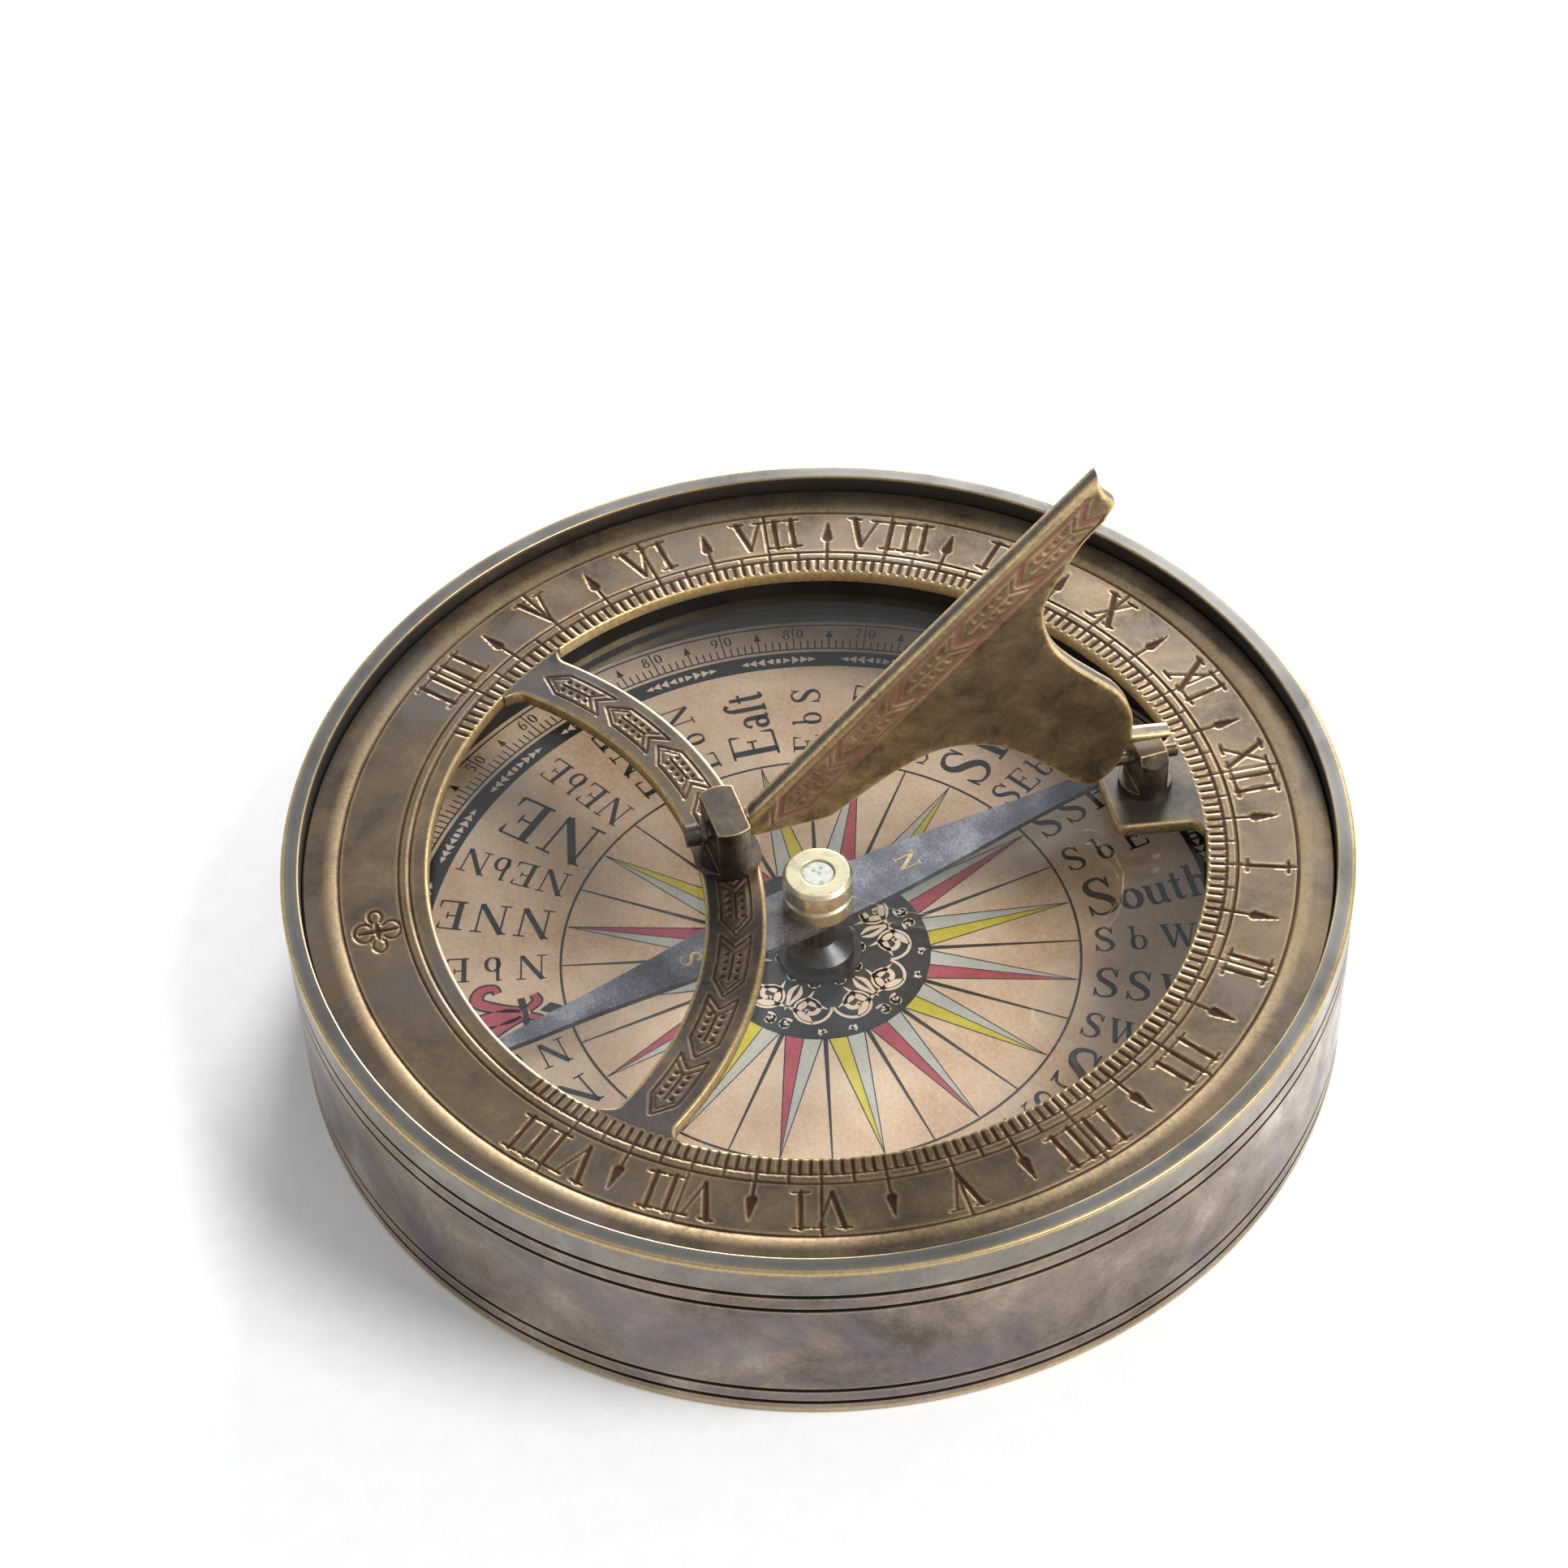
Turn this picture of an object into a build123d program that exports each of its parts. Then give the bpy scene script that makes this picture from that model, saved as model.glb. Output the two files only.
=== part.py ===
"""Folding brass sundial compass.

A drum-shaped brass case holds a printed compass card, a pivoted steel needle and a flat
glass.  An hour plate with an arched bridge lies over the glass, and a triangular gnomon
is hinged between two posts on the plate.  Millimetres.  The origin is the centre of the
case's underside, +Z is up, and +Y points along the noon line, to the XII on the plate.
"""
from build123d import *
import os
from math import radians, sin, tan

# ---- case ----------------------------------------------------------------------------
CASE_R = 55.0
CASE_H = 23.3
BORE_R = 53.1
EDGE_CHAMFER = 0.5
RIM_CHAMFER = 0.25
WALL_LINES = (3.85, 6.04, 19.5, 21.5)      # turned lines, measured down from the rim
LINE_W = 0.35
LINE_DEPTH = 0.2
FLOOR_T = 2.0
FLOOR_GAP = 0.03

# ---- card ----------------------------------------------------------------------------
CARD_R = 52.8
BOARD_T = 0.9
PAPER_T = 0.25
CARD_HOLE_R = 2.1
BOARD_TOP = FLOOR_T + BOARD_T
CARD_TOP = BOARD_TOP + PAPER_T

# ---- pivot and needle ----------------------------------------------------------------
SCREW_R = 1.2
SCREW_HEAD_R = 2.6
SCREW_HEAD_H = 1.5
SCREW_SLOT_W = 0.6
SCREW_SLOT_D = 0.7
SCREW_TOP = 6.0
SCREW_CLEARANCE = 0.05
SCREW_HEAD_SUNK = 0.15
SCREW_HEAD_GAP = 0.04
WASHER_R = 4.4
WASHER_T = 0.5
PEDESTAL_BASE_R = 3.6
PEDESTAL_BASE_H = 1.2
PEDESTAL_NECK_R = 1.7
PEDESTAL_H = 6.6
PIN_R = 0.5
PIN_SEAT = 2.4
PIN_POINT_L = 1.6
PIN_POINT_R = 0.08
PEDESTAL_BEVEL = 0.5
NEEDLE_Z = 10.9
NEEDLE_T = 0.7
NEEDLE_HALF = 41.0
NEEDLE_HUB = (2.5, 3.3)                    # distance from the pivot, half width
NEEDLE_ARM = ((11.0, 2.9), (16.5, 2.4), (23.0, 1.75), (30.0, 1.2), (36.0, 0.85))
NEEDLE_BORE_R = 2.2
NEEDLE_TURN = 17.5                         # degrees from the noon line to the north arm
CAP_R = 3.7
CAP_SHANK_DROP = 0.3                       # the shank is riveted over below the needle
CAP_TOP = 16.2
CAP_GROOVE_Z = 13.6
CAP_GROOVE = 0.35
CAP_BEVEL = 0.4
CAP_BORE_GAP = 0.3
JEWEL_R = 1.8
JEWEL_H = 2.2
JEWEL_DIP = 0.1
JEWEL_BEVEL = 0.3
CUP_R = 0.9
CUP_DEPTH = 1.2
CUP_GAP = 0.08

# ---- glazing -------------------------------------------------------------------------
LINER_IN_R = 49.4
LINER_OUT_R = 51.2
GLASS_R = 52.8
GLASS_Z = 16.9
GLASS_T = 2.0
SPRING_IN_R = 50.6
SPRING_OUT_R = 53.0
SPRING_GAP_DEG = 10.0

# ---- hour plate ----------------------------------------------------------------------
PLATE_DROP = 1.97
PLATE_T = 1.4
PLATE_R = 53.0
PLATE_OPENING_R = 40.0
BRIDGE_CENTRE_Y = -49.1
BRIDGE_IN_R = 36.7
BRIDGE_OUT_R = 42.9
TAB_IN_Y = 30.6
TAB_HALF_IN = 5.05
TAB_HALF_ROOT = 5.9
TAB_CORNER_R = 1.2
ROOT_OVERLAP = 1.0                         # how far the bridge and tab run into the ring
PLATE_TOP = CASE_H - PLATE_DROP
PLATE_BOTTOM = PLATE_TOP - PLATE_T
SPRING_Z = GLASS_Z + GLASS_T

# ---- hinge ---------------------------------------------------------------------------
HINGE_X = -0.7                             # the gnomon's east face is near the noon line
HINGE_Z = CASE_H + 2.2
HINGE_PIN_R = 0.7
RUNNING = 0.05                             # radial clearance of the pins in the posts
SHOULDER_Z = CASE_H - 1.0                  # where the flats on the posts end
SOUTH_POST_Y = -9.2
SOUTH_POST_R = 3.5
SOUTH_POST_T = 3.5
SOUTH_POST_TOP = CASE_H + 5.0
NORTH_POST_Y = 35.1
NORTH_POST_R = 2.8
NORTH_POST_T = 3.0
NORTH_POST_TOP = CASE_H + 4.2
NORTH_BEVEL = (0.85, 1.5)
POST_TWIST = 6.5                           # the flats sit a little askew, as riveted
RIVET_R = 1.5
RIVET_HEAD_R = 2.2
RIVET_HEAD_H = 0.5
SOUTH_HEAD_R = 1.2
SOUTH_HEAD_L = 2.2
HEAD_GROOVE_W = 0.3
HEAD_GROOVE_D = 0.2
SIDE_GAP = 0.3
SOUTH_PIN_END_Y = -3.6
NORTH_PIN_START_Y = 28.4
NORTH_PIN_END_Y = 38.3

# ---- gnomon --------------------------------------------------------------------------
GNOMON_T = 1.8
STYLE_ANGLE = 48.0
FOOT_END_Y = SOUTH_POST_Y + SOUTH_POST_T / 2 + SIDE_GAP
FOOT_TOP = 4.3                             # heights of the gnomon are above the rim
FOOT_UNDER = 1.2
STYLE_START_Y = -6.8
TIP_Z = 43.5
TIP_CUT = (1.9, -3.9)                      # the hollow end of the tip, along Y and Z
TIP_LIP = (-1.0, -2.1)                     # the short slope below it
TIP_HOLLOW = 0.4
TONGUE_TOP = 6.15
TONGUE_FALL = 0.45
TONGUE_UNDER = 5.1
TONGUE_ROOT_Y = 33.3
TONGUE_END_Y = 37.3
TONGUE_HOLLOW = 0.4
BACK_CURVE = ((25.7, 31.9), (23.6, 25.3), (26.6, 18.4), (31.6, 13.0))
LOBE_CURVE = ((31.7, 2.0), (29.5, 0.0), (27.2, 0.8))
ARCH_END = (24.7, 3.5)
ARCH_CURVE = ((19.5, 7.9), (14.0, 9.3), (8.8, 7.4))
ARCH_START = (1.7, 2.2)
FOOT_HEEL = (0.4, 1.9)


def ring(outer, inner, low, high):
    """A plain ring about the case's axis, from one height to another."""
    height = high - low
    blank = Cylinder(outer, height, align=(Align.CENTER, Align.CENTER, Align.MIN))
    hole = Cylinder(inner, height, align=(Align.CENTER, Align.CENTER, Align.MIN))
    return Pos(0, 0, low) * (blank - hole)


def rod(radius, low, high, x=0.0, y=0.0):
    """An upright round bar."""
    bar = Cylinder(radius, high - low, align=(Align.CENTER, Align.CENTER, Align.MIN))
    return Pos(x, y, low) * bar


def hinge_rod(radius, start_y, end_y):
    """A round bar on the hinge axis, which runs along Y."""
    bar = Cylinder(radius, end_y - start_y, align=(Align.CENTER, Align.CENTER, Align.MIN))
    return Pos(HINGE_X, start_y, HINGE_Z) * Rot(-90, 0, 0) * bar


def turned(*points):
    """A solid of revolution about Z from the corners of its half section."""
    outline = Polyline(*[(r, 0, z) for r, z in points], close=True)
    return revolve(make_face(outline), Axis.Z)


def case_wall():
    """Turned brass tube with a bevelled rim, a bottom chamfer and four fine lines."""
    wall = turned(
        (BORE_R, 0), (CASE_R - EDGE_CHAMFER, 0), (CASE_R, EDGE_CHAMFER),
        (CASE_R, CASE_H - RIM_CHAMFER), (CASE_R - RIM_CHAMFER, CASE_H),
        (BORE_R + RIM_CHAMFER, CASE_H), (BORE_R, CASE_H - RIM_CHAMFER),
    )
    for drop in WALL_LINES:
        middle = CASE_H - drop
        wall -= turned(
            (CASE_R + LINE_DEPTH, middle - LINE_W), (CASE_R + LINE_DEPTH, middle + LINE_W),
            (CASE_R - LINE_DEPTH, middle),
        )
    return wall


def case_floor():
    """Brass disc pressed into the foot of the wall, countersunk for the pivot screw."""
    disc = rod(BORE_R - FLOOR_GAP, 0, FLOOR_T) - rod(SCREW_R + SCREW_CLEARANCE, 0, FLOOR_T)
    sink = Cone(SCREW_HEAD_R, SCREW_R, SCREW_HEAD_H, align=(Align.CENTER, Align.CENTER, Align.MIN))
    return disc - sink


def pedestal_screw():
    """Countersunk slotted screw that pulls the pedestal down on to the card."""
    shank = SCREW_R - SCREW_HEAD_GAP
    rim = SCREW_HEAD_R - SCREW_HEAD_SUNK - SCREW_HEAD_GAP
    screw = turned(
        (0, SCREW_HEAD_SUNK), (rim, SCREW_HEAD_SUNK), (shank, SCREW_HEAD_H),
        (shank, SCREW_TOP), (0, SCREW_TOP),
    )
    slot = Box(3 * SCREW_HEAD_R, SCREW_SLOT_W, SCREW_SLOT_D,
               align=(Align.CENTER, Align.CENTER, Align.MIN))
    return screw - slot


def backing_board():
    """Stiff board under the printed card."""
    return ring(CARD_R, CARD_HOLE_R, FLOOR_T, BOARD_TOP)


def compass_card():
    """Printed paper disc."""
    return ring(CARD_R, CARD_HOLE_R, BOARD_TOP, CARD_TOP)


def card_washer():
    """Thin washer that clamps the card under the pedestal."""
    return ring(WASHER_R, SCREW_R + 2 * SCREW_CLEARANCE, CARD_TOP, CARD_TOP + WASHER_T)


def pedestal():
    """Turned pedestal with a broad foot and a slim neck, drilled for its pin and screw."""
    foot = CARD_TOP + WASHER_T
    top = foot + PEDESTAL_H
    shape = turned(
        (0, foot), (PEDESTAL_BASE_R, foot), (PEDESTAL_BASE_R, foot + PEDESTAL_BASE_H),
        (PEDESTAL_NECK_R, foot + 2 * PEDESTAL_BASE_H),
        (PEDESTAL_NECK_R, top - PEDESTAL_BEVEL),
        (PEDESTAL_NECK_R - PEDESTAL_BEVEL, top), (0, top),
    )
    shape -= rod(SCREW_R, foot, SCREW_TOP + SCREW_HEAD_SUNK)
    return shape - rod(PIN_R, top - PIN_SEAT, top)


def pivot_tip_z():
    """Height of the pivot's point, just under the top of the jewel's cup."""
    return CAP_TOP - JEWEL_DIP - JEWEL_H + CUP_DEPTH - CUP_GAP


def pivot_pin():
    """Hardened steel pin with a sharp point for the needle's cup."""
    low = CARD_TOP + WASHER_T + PEDESTAL_H - PIN_SEAT
    tip = pivot_tip_z()
    return turned(
        (0, low), (PIN_R, low), (PIN_R, tip - PIN_POINT_L), (PIN_POINT_R, tip), (0, tip),
    )


def needle():
    """Flat steel needle, broad at its hub, with two hollow-sided arms."""
    reach, half = NEEDLE_HUB
    edges = []
    for side in (1, -1):
        for end in (1, -1):
            edges.append(Spline(
                (side * half, end * reach),
                *[(side * width, end * along) for along, width in NEEDLE_ARM],
                (0, end * NEEDLE_HALF),
            ))
        edges.append(Line((side * half, reach), (side * half, -reach)))
    blade = extrude(make_face(Curve() + edges), NEEDLE_T)
    blade = Pos(0, 0, NEEDLE_Z) * blade - rod(NEEDLE_BORE_R, NEEDLE_Z, NEEDLE_Z + NEEDLE_T)
    return Rot(0, 0, NEEDLE_TURN) * blade


def needle_cap():
    """Turned brass cap riveted through the needle, bored for the pivot and the jewel."""
    seat = NEEDLE_Z + NEEDLE_T
    low = NEEDLE_Z - CAP_SHANK_DROP
    mid = CAP_GROOVE_Z
    shape = turned(
        (0, low), (NEEDLE_BORE_R, low), (NEEDLE_BORE_R, seat), (CAP_R, seat),
        (CAP_R, mid - CAP_GROOVE), (CAP_R - CAP_GROOVE, mid), (CAP_R, mid + CAP_GROOVE),
        (CAP_R, CAP_TOP - CAP_BEVEL), (CAP_R - CAP_BEVEL, CAP_TOP), (0, CAP_TOP),
    )
    shape -= rod(CUP_R + CAP_BORE_GAP, low, CAP_TOP)
    return shape - rod(JEWEL_R, CAP_TOP - JEWEL_DIP - JEWEL_H, CAP_TOP)


def cap_jewel():
    """Clear jewel with a conical cup underneath, set in the top of the cap."""
    low = CAP_TOP - JEWEL_DIP - JEWEL_H
    top = CAP_TOP - JEWEL_DIP
    return turned(
        (CUP_R, low), (JEWEL_R, low), (JEWEL_R, top - JEWEL_BEVEL), (JEWEL_R - JEWEL_BEVEL, top),
        (0, top), (0, low + CUP_DEPTH),
    )


def card_liner():
    """Blackened ring between the card and the glass."""
    return ring(LINER_OUT_R, LINER_IN_R, CARD_TOP, GLASS_Z)


def glass():
    """Flat window over the compass."""
    return rod(GLASS_R, GLASS_Z, GLASS_Z + GLASS_T)


def spring_ring():
    """Split brass ring that springs out against the wall and keeps the glass down."""
    full = ring(SPRING_OUT_R, SPRING_IN_R, SPRING_Z, PLATE_BOTTOM)
    gap = 2 * SPRING_OUT_R * sin(radians(SPRING_GAP_DEG / 2))
    width = SPRING_OUT_R - SPRING_IN_R
    cut = Box(gap, 4 * width, 4 * (PLATE_BOTTOM - SPRING_Z))
    return full - Pos(0, -SPRING_OUT_R, SPRING_Z) * cut


def plate_outline():
    """Hour ring with its arched bridge and the tab at XII, as one flat face."""
    face = Circle(PLATE_R) - Circle(PLATE_OPENING_R)
    arch = Circle(BRIDGE_OUT_R) - Circle(BRIDGE_IN_R)
    bridge = (Pos(0, BRIDGE_CENTRE_Y) * arch) & Circle(PLATE_OPENING_R + ROOT_OVERLAP)
    tab = make_face(Polyline(
        (-TAB_HALF_ROOT, PLATE_OPENING_R + ROOT_OVERLAP), (-TAB_HALF_IN, TAB_IN_Y),
        (TAB_HALF_IN, TAB_IN_Y), (TAB_HALF_ROOT, PLATE_OPENING_R + ROOT_OVERLAP), close=True,
    ))
    tab = fillet(tab.vertices().group_by(Axis.Y)[0], TAB_CORNER_R)
    return face + bridge + tab


def dial_ring():
    """Engraved hour plate in one piece, drilled for the shanks of the two posts."""
    plate = Pos(0, 0, PLATE_BOTTOM) * extrude(plate_outline(), PLATE_T)
    for y in (SOUTH_POST_Y, NORTH_POST_Y):
        plate -= rod(RIVET_R, PLATE_BOTTOM, PLATE_TOP, HINGE_X, y)
    return plate


def post(y, radius, thickness, top, bevel=(0, 0)):
    """Round post milled to two flats, with a riveted shank below and a cross hole.

    bevel is the width and height of the slope on each rounded end of the top.
    """
    body = rod(radius, PLATE_TOP, top)
    depth = top - SHOULDER_Z
    for side in (1, -1):
        waste = Box(3 * radius, radius, depth, align=(Align.CENTER, Align.CENTER, Align.MIN))
        body -= Pos(0, side * (thickness + radius) / 2, SHOULDER_Z) * waste
        if bevel[0]:
            corner = Polyline(
                (side * (radius - bevel[0]), 0, top), (side * (radius + 1), 0, top),
                (side * (radius + 1), 0, top - bevel[1]), (side * radius, 0, top - bevel[1]),
                close=True,
            )
            body -= extrude(make_face(corner), radius, both=True)
    body = Pos(HINGE_X, y, 0) * Rot(0, 0, POST_TWIST) * body
    body += rod(RIVET_R, PLATE_BOTTOM, PLATE_TOP, HINGE_X, y)
    body += rod(RIVET_HEAD_R, PLATE_BOTTOM - RIVET_HEAD_H, PLATE_BOTTOM, HINGE_X, y)
    return body - hinge_rod(HINGE_PIN_R + RUNNING, y - radius, y + radius)


def south_post():
    """Post on the crown of the bridge."""
    return post(SOUTH_POST_Y, SOUTH_POST_R, SOUTH_POST_T, SOUTH_POST_TOP)


def north_post():
    """Post on the tab, bevelled so that the gnomon's tongue swings over it."""
    return post(NORTH_POST_Y, NORTH_POST_R, NORTH_POST_T, NORTH_POST_TOP, NORTH_BEVEL)


def south_pin():
    """Hinge pin with a grooved head, pressed into the gnomon's foot."""
    head_face = SOUTH_POST_Y - SOUTH_POST_T / 2 - SIDE_GAP
    pin = hinge_rod(HINGE_PIN_R, head_face, SOUTH_PIN_END_Y)
    pin += hinge_rod(SOUTH_HEAD_R, head_face - SOUTH_HEAD_L, head_face)
    groove_y = head_face - SOUTH_HEAD_L * 0.4
    groove = hinge_rod(SOUTH_HEAD_R, groove_y, groove_y + HEAD_GROOVE_W)
    core = hinge_rod(SOUTH_HEAD_R - HEAD_GROOVE_D, groove_y, groove_y + HEAD_GROOVE_W)
    return pin - (groove - core)


def north_pin():
    """Plain hinge pin, pressed into the gnomon's lobe, with its end proud of the post."""
    return hinge_rod(HINGE_PIN_R, NORTH_PIN_START_Y, NORTH_PIN_END_Y)


def gnomon_outline():
    """Closed outline of the gnomon in the noon plane, from the foot up the style."""
    tip_y = STYLE_START_Y + (TIP_Z - FOOT_TOP) / tan(radians(STYLE_ANGLE))
    tip = (tip_y, TIP_Z)
    heel = (tip_y + TIP_CUT[0], TIP_Z + TIP_CUT[1])
    hollow = (tip_y + TIP_CUT[0] / 2 - TIP_HOLLOW, TIP_Z + (TIP_CUT[1] - TIP_HOLLOW) / 2)
    lip = (heel[0] + TIP_LIP[0], heel[1] + TIP_LIP[1])
    shoulder = (TONGUE_ROOT_Y, TONGUE_TOP)
    root = (TONGUE_ROOT_Y - TONGUE_HOLLOW, TONGUE_UNDER)
    return [
        Polyline((FOOT_END_Y, FOOT_UNDER), (FOOT_END_Y, FOOT_TOP),
                 (STYLE_START_Y, FOOT_TOP), tip),
        ThreePointArc(tip, hollow, heel),
        Line(heel, lip),
        Spline(lip, *BACK_CURVE, shoulder, tangents=((-1, -1.6), (0, -1))),
        Polyline(shoulder, (TONGUE_END_Y, TONGUE_TOP - TONGUE_FALL),
                 (TONGUE_END_Y, TONGUE_UNDER), root),
        Spline(root, *LOBE_CURVE, ARCH_END, tangents=((-0.2, -1), (-0.75, 1))),
        Spline(ARCH_END, *ARCH_CURVE, ARCH_START, tangents=((-0.75, 1), (-1, -0.6))),
        Polyline(ARCH_START, FOOT_HEEL, (FOOT_END_Y, FOOT_UNDER)),
    ]


def gnomon():
    """Cast brass plate whose sloping edge throws the shadow, drilled for its pins."""
    face = make_face(Plane.YZ * (Curve() + gnomon_outline()))
    plate = Pos(HINGE_X, 0, CASE_H) * extrude(face, GNOMON_T / 2, both=True)
    plate -= hinge_rod(HINGE_PIN_R, FOOT_END_Y, SOUTH_PIN_END_Y)
    return plate - hinge_rod(HINGE_PIN_R, NORTH_PIN_START_Y, NORTH_PIN_END_Y)


NODES = {
    "case_wall": case_wall,
    "case_floor": case_floor,
    "pedestal_screw": pedestal_screw,
    "backing_board": backing_board,
    "compass_card": compass_card,
    "card_washer": card_washer,
    "pivot_pedestal": pedestal,
    "pivot_pin": pivot_pin,
    "needle": needle,
    "needle_cap": needle_cap,
    "cap_jewel": cap_jewel,
    "card_liner": card_liner,
    "glass": glass,
    "spring_ring": spring_ring,
    "dial_ring": dial_ring,
    "south_post": south_post,
    "north_post": north_post,
    "south_hinge_pin": south_pin,
    "north_hinge_pin": north_pin,
    "gnomon": gnomon,
}

os.makedirs("parts", exist_ok=True)
for name, make in NODES.items():
    export_step(make(), f"parts/{name}.step")
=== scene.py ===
import bmesh
import bpy
import math
import numpy as np
from mathutils import Matrix, Vector, geometry


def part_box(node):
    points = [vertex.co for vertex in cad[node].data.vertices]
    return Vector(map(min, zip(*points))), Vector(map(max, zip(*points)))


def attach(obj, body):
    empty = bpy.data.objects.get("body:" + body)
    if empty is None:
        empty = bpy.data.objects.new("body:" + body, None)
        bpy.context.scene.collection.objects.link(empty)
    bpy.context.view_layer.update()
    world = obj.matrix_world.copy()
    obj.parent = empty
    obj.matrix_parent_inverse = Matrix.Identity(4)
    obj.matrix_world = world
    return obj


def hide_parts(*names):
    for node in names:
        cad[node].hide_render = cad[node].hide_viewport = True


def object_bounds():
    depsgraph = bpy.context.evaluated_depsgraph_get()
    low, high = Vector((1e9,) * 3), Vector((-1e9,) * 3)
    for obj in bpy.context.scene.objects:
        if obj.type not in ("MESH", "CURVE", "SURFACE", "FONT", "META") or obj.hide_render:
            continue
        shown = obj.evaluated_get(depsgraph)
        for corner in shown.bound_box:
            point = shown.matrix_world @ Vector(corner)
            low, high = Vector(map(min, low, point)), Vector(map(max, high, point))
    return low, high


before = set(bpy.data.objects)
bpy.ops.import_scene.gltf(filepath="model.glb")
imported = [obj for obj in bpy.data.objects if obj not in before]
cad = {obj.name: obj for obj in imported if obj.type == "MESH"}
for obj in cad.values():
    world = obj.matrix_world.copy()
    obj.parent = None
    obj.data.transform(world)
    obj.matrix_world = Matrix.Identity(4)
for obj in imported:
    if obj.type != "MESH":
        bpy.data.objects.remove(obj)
cad_bounds = [list(corner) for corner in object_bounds()]


# ---- case wall ---------------------------------------------------------------------------
# The case is one turned brass tube. Its rim is broken to a narrow bevel and four fine lines
# are cut round the outside. It was darkened chemically, then rubbed, so its edges are bare.
MM = 0.001
WALL_R, WALL_BORE_R, WALL_H = 55.0, 53.1, 23.3
RIM_ROUND, BORE_ROUND, FOOT_ROUND = 0.28, 0.17, 0.55
WALL_LINES = (1.8, 3.8, 17.26, 19.45)       # heights of the turned lines
LINE_HALF, LINE_DEPTH = 0.3, 0.24
WALL_SEGMENTS = 720


def linear(colour):
    """An sRGB hex colour as the linear RGBA that a shader socket takes."""
    parts = [int(colour[i:i + 2], 16) / 255 for i in (1, 3, 5)]
    return [c / 12.92 if c <= 0.04045 else ((c + 0.055) / 1.055) ** 2.4 for c in parts] + [1]


def add(tree, kind, sockets=None, stops=None, **settings):
    """Adds one shader node. sockets maps an input's name or number to a value, a hex colour
    or another node's output. stops are a ramp's positions and colours."""
    node = tree.nodes.new("ShaderNode" + kind)
    for key, value in settings.items():
        setattr(node, key, value)
    for place, (where, colour) in enumerate(stops or ()):
        element = node.color_ramp.elements
        point = element[place] if place < 2 else element.new(where)
        point.position, point.color = where, linear(colour)
    for key, value in (sockets or {}).items():
        if isinstance(value, bpy.types.NodeSocket):
            tree.links.new(value, node.inputs[key])
        else:
            node.inputs[key].default_value = linear(value) if isinstance(value, str) else value
    return node


def new_material(name, **sockets):
    """A material with its node tree, its main shader and its output."""
    material = bpy.data.materials.new(name)
    material.use_nodes = True
    tree = material.node_tree
    tree.nodes.clear()
    shader = add(tree, "BsdfPrincipled", {k.replace("_", " "): v for k, v in sockets.items()})
    add(tree, "OutputMaterial", {"Surface": shader.outputs[0]})
    return material, tree, shader


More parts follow.
